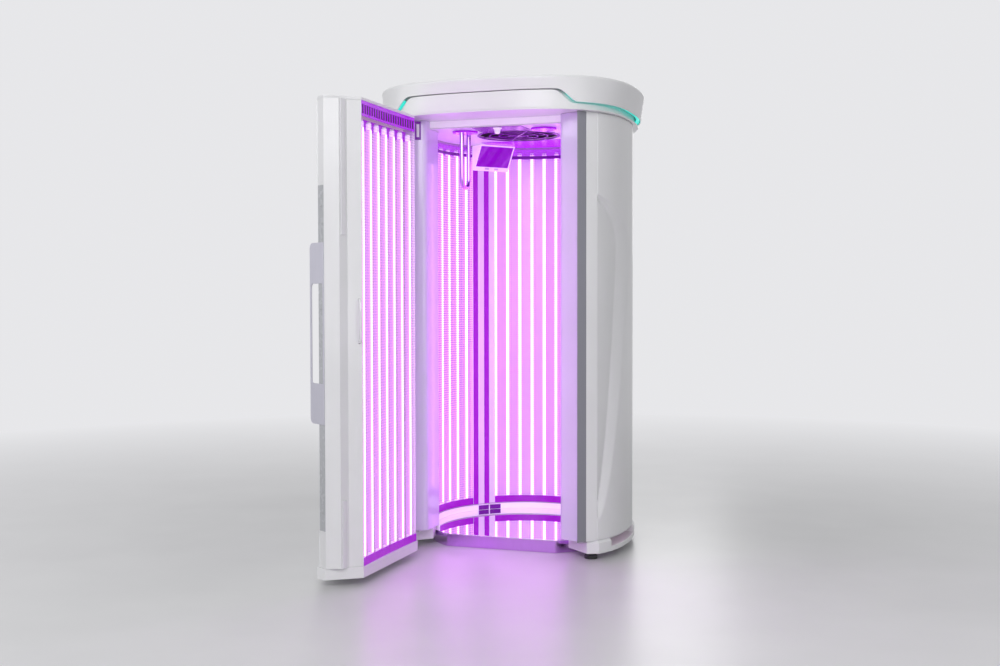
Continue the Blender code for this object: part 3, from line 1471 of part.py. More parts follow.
def build():
    make_floor()
    for side, name in ((1, "right"), (-1, "left")):
        make_plinth(side, name)
        make_foot(side, name)
        make_pillar(side, name)
        make_post(side, name)
        make_side_panel(side, name)
    make_ring("lower_lamp_ring", BODY_LOW, RING_TOP)
    make_ring("upper_lamp_ring", UPPER_RING_LOW, UPPER_RING_TOP)
    make_reflector()
    rear_end = PILLAR_ANGLE - PILLAR_HALF_ANGLE
    side_start = PILLAR_ANGLE + PILLAR_HALF_ANGLE
    make_wall_bank("rear", -rear_end, rear_end, REAR_LAMPS, REAR_MARGIN_ANGLE)
    make_wall_bank("right", side_start, WALL_END_ANGLE, SIDE_LAMPS, SIDE_MARGIN_ANGLE)
    make_wall_bank("left", -WALL_END_ANGLE, -side_start, SIDE_LAMPS, SIDE_MARGIN_ANGLE)
    make_rear_panel()
    make_ceiling()
    make_fan()
    make_hand_grip()
    make_control_panel()
    make_canopy()
    make_electrics()
    make_door_ends()
    make_hinges()
    make_stile(1, "free")
    make_stile(-1, "hinge")
    make_door_skins()
    make_door_handles()
    bpy.context.view_layer.update()


build()
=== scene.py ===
"""Looks of the stand-up light therapy booth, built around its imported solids.

Metres, +Z up. The doorway faces -Y and the door stands open at a right angle.
"""
import json
import math

import bmesh
import bpy
from mathutils import Matrix, Vector


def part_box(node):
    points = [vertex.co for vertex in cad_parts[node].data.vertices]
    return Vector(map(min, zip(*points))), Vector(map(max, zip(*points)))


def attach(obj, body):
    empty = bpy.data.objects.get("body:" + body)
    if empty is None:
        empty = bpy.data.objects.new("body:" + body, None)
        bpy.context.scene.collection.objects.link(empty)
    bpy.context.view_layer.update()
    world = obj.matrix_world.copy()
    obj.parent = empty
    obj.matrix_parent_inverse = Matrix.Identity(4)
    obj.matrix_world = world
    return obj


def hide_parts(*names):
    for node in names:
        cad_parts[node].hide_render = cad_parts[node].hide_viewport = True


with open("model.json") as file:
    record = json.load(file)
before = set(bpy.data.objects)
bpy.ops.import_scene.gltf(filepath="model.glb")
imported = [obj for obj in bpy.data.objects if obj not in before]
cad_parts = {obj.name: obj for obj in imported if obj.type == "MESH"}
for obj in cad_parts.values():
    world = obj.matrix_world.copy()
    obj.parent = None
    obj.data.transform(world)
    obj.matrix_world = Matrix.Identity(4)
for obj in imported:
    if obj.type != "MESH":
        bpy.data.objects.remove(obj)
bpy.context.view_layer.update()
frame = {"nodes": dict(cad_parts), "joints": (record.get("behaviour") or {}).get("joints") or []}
NODES = frame["nodes"]


# Sizes read from the frame

def low(node):
    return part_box(node)[0]


def high(node):
    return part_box(node)[1]


BODY_LOW = low("post_left").z
BODY_TOP = high("post_left").z
HOLDER_LOW = low("acrylic_rear").z
HOLDER_TOP = high("acrylic_rear").z
CANOPY_LOW = low("canopy_fascia").z
CANOPY_TOP = high("canopy_cap").z
CANOPY_HALF_WIDTH = high("canopy_cap").x
CANOPY_FRONT_Y = low("canopy_cap").y
CANOPY_BACK_Y = high("canopy_cap").y
DOOR_LOW = low("door_stile_free").z
DOOR_HIGH = high("door_stile_free").z
DOOR_VENT_LOW = low("door_vent_strip").z
HINGE = next(Vector(j["pos_m"]) for j in frame["joints"] if j["name"] == "door_hinge")

# Each side's sign of X and its name
SIDES = ((1, "right"), (-1, "left"))

# Cabin wall: an ellipse in plan, with angles measured from the back (+Y)
WALL_SIDE_INSET = 0.180
WALL_BACK_INSET = 0.153
WALL_CENTRE_Y = 0.027
WALL_HALF_WIDTH = CANOPY_HALF_WIDTH - WALL_SIDE_INSET
WALL_HALF_DEPTH = CANOPY_BACK_Y - WALL_BACK_INSET - WALL_CENTRE_Y
WALL_END_ANGLE = 127.0
PILLAR_ANGLE = 48.2
PILLAR_HALF_ANGLE = 6.1
REAR_MARGIN_ANGLE = 6.0
SIDE_MARGIN_ANGLE = 3.0
PILLAR_PROUD = 0.004
SEAM_ANGLE = 0.05
ACRYLIC_THICK = 0.003

# Lamps
LAMP_RADIUS = 0.013
LAMP_SETBACK = 0.034
DOOR_LAMP_SETBACK = 0.019
LAMP_LOW = HOLDER_LOW + 0.035
LAMP_TOP = HOLDER_TOP - 0.057
LAMP_END = 0.006
LAMP_END_SHARE = 0.86
CAP_LENGTH = 0.026
CAP_RADIUS = 0.0122
CAP_LAP = 0.004
CAP_EDGE = 0.002
CAP_EDGE_SHARE = 0.9
SOCKET_LENGTH = 0.008
SOCKET_SHARE = 0.8
SOCKET_SIDES = 16
SHEET_STEPS = 40
REAR_LAMPS = 10
SIDE_LAMPS = 10
DOOR_LAMPS = 7
HOLDER_OUT = 0.056
HOLDER_THICK = 0.008
HOLDER_BEVEL = 0.001
STRIP_HEIGHT = 0.016
RAIL_FACE = -0.0026
RAIL_BACK = -0.0004
RAIL_LAP = 0.002
RAIL_BEVEL = 0.0006
WALL_STEPS = 32
DOOR_LAMP_MARGIN = 0.039
DOOR_LAMP_LOW = DOOR_LOW + 0.035
DOOR_LAMP_TOP = DOOR_VENT_LOW - 0.048
DOOR_SHEET_SIDE_GAP = 0.0006
DOOR_SHEET_TOP_GAP = 0.0003

# Door, drawn closed: corners of its plan and the arc of its lamp side
DOORWAY_HALF_WIDTH = -HINGE.x - 0.088
POST_FRONT_Y = HINGE.y + 0.063
COLUMN_CORNER = (DOORWAY_HALF_WIDTH - 0.047, POST_FRONT_Y + 0.045)
DOOR_LAMP_ARC_ANGLE = 3.0
CHAMFER_END = (DOORWAY_HALF_WIDTH + 0.032, POST_FRONT_Y - 0.129)
FLANGE_OUTER = (DOORWAY_HALF_WIDTH + 0.060, POST_FRONT_Y - 0.087)
FLANGE_INNER = (DOORWAY_HALF_WIDTH + 0.0405, POST_FRONT_Y - 0.023)
RECESS_CORNER = (DOORWAY_HALF_WIDTH - 0.007, POST_FRONT_Y - 0.007)
DOOR_OUTER_APEX = POST_FRONT_Y - 0.199

# Outer body in plan, with angles measured from the front (-Y)
BODY_CENTRE_Y = -0.100
BODY_HALF_WIDTH = CANOPY_HALF_WIDTH - 0.050
BODY_FRONT = BODY_CENTRE_Y - DOOR_OUTER_APEX
BODY_BACK = CANOPY_BACK_Y - 0.040 - BODY_CENTRE_Y
BODY_FRONT_POWER = 2.6
BODY_BACK_POWER = 2.0
BAND_END_ANGLE = 57.65
REAR_SPLIT_ANGLE = 127.5
COVER = 0.004
SWOOSH_DEPTH = 0.028
SWOOSH_TOP = 1.775
SWOOSH_BOTTOM = 0.194
SWOOSH_REACH = 0.487
SWOOSH_PEAK = 0.832
SWOOSH_TAPER = 0.60
SWOOSH_CROWN = 2.4
SWOOSH_WALL_LEAST = 0.05
SWOOSH_WALL_GROWTH = 0.23
SWOOSH_FRONT = 0.12
SWOOSH_FLOOR_LEAST = 0.02

# Small fittings
VENT_SLOTS = 22
VENT_PITCH = 3.2
VENT_LOWER_RAIL = 0.010
VENT_UPPER_RAIL = 0.016
VENT_THICK = 0.0035
VENT_BAR = (0.0002, 0.0033)
VENT_BAR_LAP = 0.001
VENT_BACK = (0.0045, 0.006)
VENT_STEPS = 8
PILLAR_STRIP = 0.032
PILLAR_STRIP_INSET = 0.001
PILLAR_STRIP_THICK = 0.0012
TRIM_ANGLE = 4.2
TRIM_STEPS = 6
SCREW_LEVELS = (1.68, 1.23, 0.33)
SCREW_RADIUS = 0.0055
SCREW_RISE = 0.002
SCREW_RIM = SCREW_RISE * 0.4
SCREW_CROWN = SCREW_RADIUS * 0.7
SCREW_CROSS = (SCREW_RADIUS * 1.1, SCREW_RADIUS * 0.22, SCREW_RISE * 0.3)
SCREW_SIDES = 20
SCREW_GAP = 0.0005
SEAT_GAP = 0.0004
SEAL_UPPER_LOW = 1.553
SEAL_LOWER_TOP = 0.385
SEAL_WIDTH = 0.026
SEAL_THICK = 0.005
SEAL_SHIFT = 0.004
PLATE_THICK = 0.0016
PLATE_GAP = 0.0003
PLATE_MARGIN = 0.004
PLATE_LOW = 0.25
PLATE_TOP = 1.77
KEEPER_LOW = 2.066
KEEPER_TOP = 2.158
KEEPER_WIDTH = 0.030
KEEPER_SHIFT = 0.010
KEEPER_THICK = 0.003
PAD_MARGIN = 0.014
PAD_WIDTH = KEEPER_WIDTH * 0.45
PAD_THICK = 0.0012
RIDGE_FOOT = (0.096, 0.0335)
FLOOR_CENTRE_Y = 0.060
SKIRTING_FACE = high("floor_skirting").x - 0.004
FRONT_TRIM = ((0.130, -0.392), (0.060, -0.400))
FRONT_TRIM_ANGLE = 38.0
REAR_TRIM_ANGLE = 38.0
REAR_TRIM_INSET = 0.012
GUARD_SIDE_GAP = 0.001
GUARD_REAR_GAP = 0.002
CEILING_GAP = 0.0003
CEILING_TRIM_THICK = 0.0022
ARC_STEPS = 24
CLIP_MIDDLE_ANGLE = 43.0
CLIP_ANGLE = 8.4
CLIP_SPLIT_ANGLE = 0.4
CLIP_THICK = 0.003
CLIP_FOOT_GAP = 0.001
CLIP_HEAD_GAP = 0.006
NOZZLE = (0.0, -0.374)
NOZZLE_GAP = 0.0030
NOZZLE_PROFILE = ((0.008, 0.030), (0.013, 0.026), (0.016, 0.008), (0.022, 0.004), (0.022, 0.0))
NOZZLE_SIDES = 28
GRIP_LEG_SPACING = 0.100
GRIP_BEND_INSET = 0.005
GRIP_TUBE_RADIUS = 0.011
GRIP_SIDES = 24
ROSETTE_THICK = 0.010
ROSETTE_EDGE = 0.003
ROSETTE_SIDES = 48

# Canopy
CANOPY_FRONT = BODY_CENTRE_Y - CANOPY_FRONT_Y
CANOPY_BACK = CANOPY_BACK_Y - BODY_CENTRE_Y
CANOPY_POWERS = (2.8, 2.2)
CANOPY_LOWER_POWERS = (3.1, 2.5)
CANOPY_STEPS = 288
CROWN_INSET = 0.010
CROWN_DROP = 0.016
CROWN_STEPS = 6
CAP_LIP = 0.005
CAP_WALL = 0.015
CAP_ROOF = 0.005
CAP_TAPER = 0.026
CAP_FRONT_DROP = 0.065
CAP_SIDE_DROP = 0.126
STEP_START_ANGLE = 28.5
STEP_END_ANGLE = 38.2
STEP_BLEND_ANGLE = 1.5
GROOVE_OPEN_ANGLE = 60.0
FASCIA_INSET = (0.017, 0.057)
GROOVE_FRONT = 0.0035
GROOVE_SIDE = 0.004
ACCENT_INSET = ((0.030, 0.034), (0.040, 0.050))
ACCENT_START_ANGLE = 33.0
ACCENT_LIFT = 0.008
ACCENT_STEPS = 160


# Plan curves

def span(start, end, steps):
    return [start + (end - start) * i / steps for i in range(steps + 1)]


def ramp(value, start, end):
    return min(1.0, max(0.0, (value - start) / (end - start)))


def smooth_ramp(value, start, end):
    t = ramp(value, start, end)
    return t * t * (3 - 2 * t)


def wall_point(angle, offset):
    turn = math.radians(angle)
    x = math.sin(turn) * (WALL_HALF_WIDTH + offset)
    return (x, WALL_CENTRE_Y + math.cos(turn) * (WALL_HALF_DEPTH + offset))


def signed_power(value, power):
    return math.copysign(abs(value) ** power, value)


def superellipse(angle, half_width, front, back, power, back_power):
    """A point of an egg-shaped outline, by its angle from the front (-Y)."""
    turn = math.radians(angle)
    ahead = math.cos(turn) > 0
    exponent = 2 / (power if ahead else back_power)
    depth = front if ahead else back
    x = signed_power(math.sin(turn), exponent) * half_width
    return (x, -signed_power(math.cos(turn), exponent) * depth)


def body_point(angle, grow):
    x, y = superellipse(
        angle,
        BODY_HALF_WIDTH + grow,
        BODY_FRONT + grow,
        BODY_BACK + grow,
        BODY_FRONT_POWER,
        BODY_BACK_POWER,
    )
    return (x, y + BODY_CENTRE_Y)


def canopy_point(angle, inset, powers):
    front_inset, side_inset = inset
    x, y = superellipse(
        angle,
        CANOPY_HALF_WIDTH - side_inset,
        CANOPY_FRONT - front_inset,
        CANOPY_BACK - side_inset,
        *powers,
    )
    return (x, y + BODY_CENTRE_Y)


def lamp_arc_point(angle, setback):
    """A point of the closed door's lamp side, by its angle from the door's middle."""
    turn = math.radians(angle)
    radius = COLUMN_CORNER[0] / math.sin(math.radians(DOOR_LAMP_ARC_ANGLE))
    centre_y = COLUMN_CORNER[1] + radius * math.cos(math.radians(DOOR_LAMP_ARC_ANGLE))
    return (math.sin(turn) * (radius + setback), centre_y - math.cos(turn) * (radius + setback))


def lamp_arc_reach(half_span):
    radius = COLUMN_CORNER[0] / math.sin(math.radians(DOOR_LAMP_ARC_ANGLE))
    return math.degrees(math.asin(half_span / radius))


# Turns the closed door's plan to where the door stands at rest
DOOR_SWING = (
    Matrix.Translation((HINGE.x, HINGE.y, 0.0))
    @ Matrix.Rotation(math.radians(-90), 4, "Z")
    @ Matrix.Translation((-HINGE.x, -HINGE.y, 0.0))
)


# Materials: a small kit of node builders

NOISE_RANGE = (0.3, 0.7)
CLOUD_SCALE = 2.5
WEAR_SCALE = 38.0
SKIN_SCALE = 420.0
SKIN_RISE = 0.001
COAT_GLOSS = 0.06
LINE_SCALE = 9.0
LINE_SPREAD = 0.05
LINE_RISE = 0.0006
MOTTLE_SCALE = 30.0
LAMP_GLOW = 6.0
DOT_PITCH = 0.0125
DOT_EDGE = (0.22, 0.40)
DOT_BUMP = 0.15
DOT_RISE = 0.0008

FINISH = {}


def shader_of(name):
    """A new material, kept in FINISH by its name, as what its builder works on."""
    material = bpy.data.materials.new(name)
    material.use_nodes = True
    FINISH[name] = material
    nodes = material.node_tree.nodes
    return nodes, material.node_tree.links, nodes["Principled BSDF"]


def coordinates(nodes, links, stretch=(1.0, 1.0, 1.0), source="Object"):
    place = nodes.new("ShaderNodeTexCoord")
    mapping = nodes.new("ShaderNodeMapping")
    mapping.inputs["Scale"].default_value = stretch
    links.new(place.outputs[source], mapping.inputs["Vector"])
    return mapping.outputs["Vector"]


def noise(nodes, links, vector, scale, detail=3.0):
    texture = nodes.new("ShaderNodeTexNoise")
    texture.inputs["Scale"].default_value = scale
    texture.inputs["Detail"].default_value = detail
    links.new(vector, texture.inputs["Vector"])
    return texture.outputs["Fac"]


def shades(nodes, links, value, stops):
    """A colour ramp from (place, colour) pairs."""
    node = nodes.new("ShaderNodeValToRGB")
    elements = node.color_ramp.elements
    while len(elements) < len(stops):
        elements.new(0.5)
    for element, (place, colour) in zip(elements, stops):
        element.position = place
        element.color = (*colour, 1.0)
    links.new(value, node.inputs["Fac"])
    return node.outputs["Color"]


def remap(nodes, links, value, bottom, top, source=NOISE_RANGE):
    node = nodes.new("ShaderNodeMapRange")
    node.inputs["From Min"].default_value = source[0]
    node.inputs["From Max"].default_value = source[1]
    node.inputs["To Min"].default_value = bottom
    node.inputs["To Max"].default_value = top
    links.new(value, node.inputs["Value"])
    return node.outputs["Result"]


def bump(nodes, links, value, strength, distance):
    node = nodes.new("ShaderNodeBump")
    node.inputs["Strength"].default_value = strength
    node.inputs["Distance"].default_value = distance
    links.new(value, node.inputs["Height"])
    return node.outputs["Normal"]


def tone(colour, factor):
    return tuple(min(1.0, c * factor) for c in colour)


def noise_stops(dark, light):
    return tuple(zip(NOISE_RANGE, (dark, light)))


def moulded(name, colour, gloss, coat=0.0, depth=0.04, wear=0.2, spread=0.03):
    """Plastic or paint: faint cloudiness, a varied gloss and an orange-peel skin."""
    nodes, links, shader = shader_of(name)
    where = coordinates(nodes, links)
    cloud = noise(nodes, links, where, CLOUD_SCALE)
    stops = noise_stops(tone(colour, 1 - spread), tone(colour, 1 + spread))
    links.new(shades(nodes, links, cloud, stops), shader.inputs["Base Color"])
    rubbed = noise(nodes, links, where, WEAR_SCALE, detail=5.0)
    rough = remap(nodes, links, rubbed, gloss * (1 - wear), gloss * (1 + wear))
    links.new(rough, shader.inputs["Roughness"])
    skin = noise(nodes, links, where, SKIN_SCALE, detail=2.0)
    links.new(bump(nodes, links, skin, depth, SKIN_RISE), shader.inputs["Normal"])
    shader.inputs["Coat Weight"].default_value = coat
    shader.inputs["Coat Roughness"].default_value = COAT_GLOSS


def drawn_metal(name, colour, gloss, metallic, stretch=(60.0, 60.0, 1.2), depth=0.03):
    """Extruded, brushed or polished metal with fine lines along its length."""
    nodes, links, shader = shader_of(name)
    lines = noise(nodes, links, coordinates(nodes, links, stretch), LINE_SCALE, detail=4.0)
    stops = noise_stops(tone(colour, 1 - LINE_SPREAD), tone(colour, 1 + LINE_SPREAD))
    links.new(shades(nodes, links, lines, stops), shader.inputs["Base Color"])
    links.new(remap(nodes, links, lines, gloss * 0.8, gloss * 1.3), shader.inputs["Roughness"])
    links.new(bump(nodes, links, lines, depth, LINE_RISE), shader.inputs["Normal"])
    shader.inputs["Metallic"].default_value = metallic
    return shader


def lamp_material():
    """Lit glass: a bright core where a tube faces the cabin, pink edges and lilac flanks."""
    nodes, links, shader = shader_of("lamp_glass")
    facing = nodes.new("ShaderNodeAttribute")
    facing.attribute_name = "inward"
    stops = (
        (0.0, (0.110, 0.048, 0.147)),
        (0.62, (0.114, 0.051, 0.150)),
        (0.84, (0.169, 0.066, 0.136)),
        (0.95, (0.80, 0.34, 1.0)),
    )
    glow = shades(nodes, links, facing.outputs["Fac"], stops)
    links.new(glow, shader.inputs["Emission Color"])
    shader.inputs["Emission Strength"].default_value = LAMP_GLOW
    shader.inputs["Base Color"].default_value = (0.20, 0.10, 0.24, 1.0)
    shader.inputs["Roughness"].default_value = 0.25


def acrylic_material(name, glow, veil, dot_veil):
    """Clear sheet with a fine pressed dot grid; its violet colour and emission are a painted glow
    standing in for the lamps' light in the sheet.
    """
    nodes, links, shader = shader_of(name)
    where = coordinates(nodes, links, source="UV")
    dots = nodes.new("ShaderNodeTexVoronoi")
    dots.inputs["Scale"].default_value = 1.0 / DOT_PITCH
    dots.inputs["Randomness"].default_value = 0.0
    links.new(where, dots.inputs["Vector"])
    mask = remap(nodes, links, dots.outputs["Distance"], 1.0, 0.0, DOT_EDGE)
    stops = ((0.0, (0.70, 0.30, 0.90)), (1.0, (0.30, 0.03, 0.50)))
    colour = shades(nodes, links, mask, stops)
    links.new(colour, shader.inputs["Base Color"])
    links.new(colour, shader.inputs["Emission Color"])
    shader.inputs["Emission Strength"].default_value = glow
    shader.inputs["Roughness"].default_value = 0.08
    links.new(remap(nodes, links, mask, veil, dot_veil, (0.0, 1.0)), shader.inputs["Alpha"])
    links.new(bump(nodes, links, mask, DOT_BUMP, DOT_RISE), shader.inputs["Normal"])


def painted_glow_metal(name, colour, light, gloss, glow):
    """Reflector sheet behind the lamps: drawn lines, with a pink tint and emission in the lamps' own
    colour, a painted glow standing in for their light on the sheet.
    """
    shader = drawn_metal(name, colour, gloss, metallic=0.5)
    shader.inputs["Emission Color"].default_value = (*light, 1.0)
    shader.inputs["Emission Strength"].default_value = glow


def glowing(name, colour, light, strength, gloss=0.4):
    """A lit diffuser or display, or a plastic given a painted glow that stands in for the lamps' light
    on it, with faint mottling.
    """
    nodes, links, shader = shader_of(name)
    cloud = noise(nodes, links, coordinates(nodes, links), MOTTLE_SCALE)
    lit = shades(nodes, links, cloud, noise_stops(tone(light, 0.85), light))
    links.new(lit, shader.inputs["Emission Color"])
    shader.inputs["Emission Strength"].default_value = strength
    shader.inputs["Base Color"].default_value = (*colour, 1.0)
    shader.inputs["Roughness"].default_value = gloss


moulded("white_shell", (0.80, 0.80, 0.82), 0.32, coat=0.1, depth=0.01, wear=0.04)
moulded("white_column", (0.78, 0.77, 0.81), 0.16, coat=0.5, depth=0.02)
# Columns: white, with painted lilac light from the lamps.
moulded("column_painted_lilac_light", (0.72, 0.64, 0.86), 0.16, coat=0.5, depth=0.02)
# Steel with a painted violet reflection of the lamps' light.
drawn_metal("steel_painted_violet_reflection", (0.66, 0.36, 0.84), 0.14, 1.0)
drawn_metal("grey_aluminium", (0.27, 0.27, 0.31), 0.42, 0.35)
drawn_metal("lilac_aluminium", (0.55, 0.54, 0.62), 0.38, 0.45)
drawn_metal("mirror", (0.86, 0.85, 0.89), 0.025, 1.0, (4.0, 4.0, 4.0), 0.0)
# Reflector sheets: their pink tint and emission are a painted glow of the lamps' light.
painted_glow_metal("reflector_sheet", (0.58, 0.42, 0.58), (0.62, 0.44, 0.56), 0.34, 0.42)
lamp_material()
# Acrylic sheets: violet colour and emission are a painted glow of the lamps' light.
acrylic_material("acrylic", 0.8, 0.08, 0.45)
acrylic_material("acrylic_clear", 0.4, 0.04, 0.16)
moulded("black_plastic", (0.022, 0.022, 0.025), 0.45, depth=0.08)
glowing("display_glass", (0.03, 0.004, 0.05), (0.36, 0.0, 0.78), 0.75, 0.06)
moulded("key_plastic", (0.72, 0.71, 0.75), 0.40, depth=0.08)
glowing("teal_diffuser", (0.10, 0.45, 0.40), (0.02, 0.62, 0.52), 1.1)
# Trims, rails, white fittings and lamp caps: a painted glow standing in for the lamps' light falling on
# them.
glowing("trim_painted_violet_glow", (0.20, 0.01, 0.34), (0.40, 0.004, 0.78), 0.65, 0.22)
glowing("rail_painted_violet_glow", (0.10, 0.002, 0.16), (0.34, 0.001, 0.56), 0.80, 0.22)
glowing("dark_painted_violet_glow", (0.06, 0.002, 0.12), (0.14, 0.001, 0.28), 0.70, 0.25)
glowing("white_painted_lamp_glow", (0.80, 0.78, 0.82), (0.90, 0.72, 1.0), 0.35, 0.2)
glowing("cap_painted_lamp_glow", (0.80, 0.70, 0.85), (0.86, 0.60, 0.95), 0.55, 0.3)
drawn_metal("steel", (0.45, 0.45, 0.47), 0.40, 0.8)
moulded("mid_grey_panel", (0.46, 0.47, 0.50), 0.26, coat=0.3)


# CAD nodes: welded, softly bevelled and smoothly shaded by modifiers

SHADED_EDGE = math.radians(28)
FLAT_EDGE = math.radians(0.5)
WELD_DISTANCE = 0.00001
BEVEL_SEGMENTS = 3


def shading_group():
    """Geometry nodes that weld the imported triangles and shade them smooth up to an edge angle."""
    group = bpy.data.node_groups.new("weld_and_smooth", "GeometryNodeTree")
    group.interface.new_socket("Geometry", in_out="INPUT", socket_type="NodeSocketGeometry")
    group.interface.new_socket("Geometry", in_out="OUTPUT", socket_type="NodeSocketGeometry")
    nodes = group.nodes
    links = group.links
    start = nodes.new("NodeGroupInput")
    end = nodes.new("NodeGroupOutput")
    strip = nodes.new("GeometryNodeRemoveAttribute")
    strip.inputs["Name"].default_value = "custom_normal"
    weld = nodes.new("GeometryNodeMergeByDistance")
    weld.inputs["Distance"].default_value = WELD_DISTANCE
    faces = nodes.new("GeometryNodeSetShadeSmooth")
    edges = nodes.new("GeometryNodeSetShadeSmooth")
    edges.domain = "EDGE"
    angle = nodes.new("GeometryNodeInputMeshEdgeAngle")
    soft = nodes.new("FunctionNodeCompare")
    soft.operation = "LESS_THAN"
    soft.inputs["B"].default_value = SHADED_EDGE
    links.new(start.outputs["Geometry"], strip.inputs["Geometry"])
    links.new(strip.outputs["Geometry"], weld.inputs["Geometry"])
    links.new(weld.outputs["Geometry"], faces.inputs["Geometry"])
    links.new(faces.outputs["Geometry"], edges.inputs["Geometry"])
    links.new(angle.outputs["Unsigned Angle"], soft.inputs["A"])
    links.new(soft.outputs["Result"], edges.inputs["Shade Smooth"])
    links.new(edges.outputs["Geometry"], end.inputs["Geometry"])
    return group


SHADING = shading_group()


def add_bevel(obj, width):
    bevel = obj.modifiers.new("edge", "BEVEL")
    bevel.width = width
    bevel.segments = BEVEL_SEGMENTS
    bevel.limit_method = "ANGLE"
    bevel.angle_limit = SHADED_EDGE
    bevel.harden_normals = False
    normals = obj.modifiers.new("normals", "WEIGHTED_NORMAL")
    normals.keep_sharp = True


def dress(node, finish, bevel):
    """Gives a CAD node its finish and soft edges; its mesh stays as packed."""
    obj = NODES[node]
    obj.data.materials.clear()
    obj.data.materials.append(FINISH[finish])
    weld = obj.modifiers.new("weld_and_smooth", "NODES")
    weld.node_group = SHADING
    if bevel:
        flat = obj.modifiers.new("flat", "DECIMATE")
        flat.decimate_type = "DISSOLVE"
        flat.angle_limit = FLAT_EDGE
        add_bevel(obj, bevel)


# Pieces

def piece(name, work, finish, body, replaced=(), bevel=0.0, turn=None):
    """Makes an object from a bmesh, dresses it and lets it ride on a body."""
    if turn:
        bmesh.ops.transform(work, matrix=turn, verts=work.verts)
    bmesh.ops.recalc_face_normals(work, faces=work.faces)
    mesh = bpy.data.meshes.new(name)
    work.to_mesh(mesh)
    work.free()
    mesh.shade_smooth()
    mesh.set_sharp_from_angle(angle=SHADED_EDGE)
    mesh.materials.append(FINISH[finish])
    obj = bpy.data.objects.new(name, mesh)
    bpy.context.scene.collection.objects.link(obj)
    if bevel:
        add_bevel(obj, bevel)
    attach(obj, body)
    if replaced:
        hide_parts(*replaced)
    return obj


def bridge(work, rings):
    for first, second in zip(rings, rings[1:]):
        count = len(first)
        for i in range(count):
            j = (i + 1) % count
            work.faces.new((first[i], first[j], second[j], second[i]))


def close_loft(work, rings):
    """Faces from ring to ring, with both ends closed."""
    bridge(work, rings)
    work.faces.new(list(reversed(rings[0])))
    work.faces.new(rings[-1])


def add_prism(work, outline, bottom, top):
    """A closed upright prism on a plan outline."""
    lower = [work.verts.new((x, y, bottom)) for x, y in outline]
    upper = [work.verts.new((x, y, top)) for x, y in outline]
    close_loft(work, (lower, upper))


def add_turned(work, profile, x, y, sides=24):
    """A turned solid about an upright axis, from (radius, z) pairs."""
    rings = []
    for radius, z in profile:
        ring = []
        for i in range(sides):
            turn = math.tau * i / sides
            ring.append(work.verts.new((x + math.cos(turn) * radius, y + math.sin(turn) * radius, z)))
        rings.append(ring)
    close_loft(work, rings)


def band(point_at, start, end, inner, outer, steps):
    angles = span(start, end, steps)
    return [point_at(a, inner) for a in angles] + [point_at(a, outer) for a in reversed(angles)]


# Lamps

def make_tubes(name, body, lamps, bottom, top, node, turn=None):
    """Glass tubes with rounded ends; each vertex knows how far it faces the cabin."""
    work = bmesh.new()
    inward = work.verts.layers.float.new("inward")
    for x, y, toward_x, toward_y in lamps:
        first = len(work.verts)
        profile = (
            (LAMP_RADIUS * LAMP_END_SHARE, bottom),
            (LAMP_RADIUS, bottom + LAMP_END),
            (LAMP_RADIUS, top - LAMP_END),
            (LAMP_RADIUS * LAMP_END_SHARE, top),
        )
        add_turned(work, profile, x, y)
        work.verts.ensure_lookup_table()
        for vert in work.verts[first:]:
            out = ((vert.co.x - x) * toward_x + (vert.co.y - y) * toward_y) / LAMP_RADIUS
            vert[inward] = 0.5 + 0.5 * out
    piece(name + "_tubes", work, "lamp_glass", body, (node,), turn=turn)


def make_lamp_ends(name, body, lamps, bottom, top, turn=None):
    """Metal caps with a painted glow of the lamps' light, and white sockets, at both ends of each tube.
    """
    caps = bmesh.new()
    sockets = bmesh.new()
    socket_radius = CAP_RADIUS * SOCKET_SHARE
    for x, y, _, _ in lamps:
        for end, way in ((bottom, -1), (top, 1)):
            near, far = sorted((end - way * CAP_LAP, end + way * CAP_LENGTH))
            profile = (
                (CAP_RADIUS * CAP_EDGE_SHARE, near),
                (CAP_RADIUS, near + CAP_EDGE),
                (CAP_RADIUS, far - CAP_EDGE),
                (CAP_RADIUS * CAP_EDGE_SHARE, far),
            )
            add_turned(caps, profile, x, y)
            foot = sorted((end + way * CAP_LENGTH, end + way * (CAP_LENGTH + SOCKET_LENGTH)))
            add_turned(sockets, [(socket_radius, z) for z in foot], x, y, SOCKET_SIDES)
    piece(name + "_caps", caps, "cap_painted_lamp_glow", body, turn=turn)
    piece(name + "_sockets", sockets, "key_plastic", body, turn=turn)


def lamp_places(point_at, angles, setback):
    """Each lamp's plan place and its direction towards the cabin."""
    lamps = []
    for angle in angles:
        here = Vector(point_at(angle, setback))
        toward = (Vector(point_at(angle, 0.0)) - here).normalized()
        lamps.append((here.x, here.y, toward.x, toward.y))
    return lamps


def make_sheet(name, finish, body, point_at, start, end, bottom, top, node, turn=None):
    """A curved acrylic sheet whose texture runs in metres along it and up it."""
    work = bmesh.new()
    uv = work.loops.layers.uv.new("sheet")
    texture = {}
    rows = []
    run = 0.0
    before = Vector(point_at(start, 0.0))
    for angle in span(start, end, SHEET_STEPS):
        inner = Vector(point_at(angle, 0.0))
        outer = Vector(point_at(angle, ACRYLIC_THICK))
        run += (inner - before).length
        before = inner
        row = []
        for point, z in ((inner, bottom), (inner, top), (outer, top), (outer, bottom)):
            vert = work.verts.new((*point, z))
            texture[vert] = (run, z)
            row.append(vert)
        rows.append(row)
    close_loft(work, rows)
    for face in work.faces:
        for loop in face.loops:
            loop[uv].uv = texture[loop.vert]
    piece(name, work, finish, body, (node,), turn=turn)


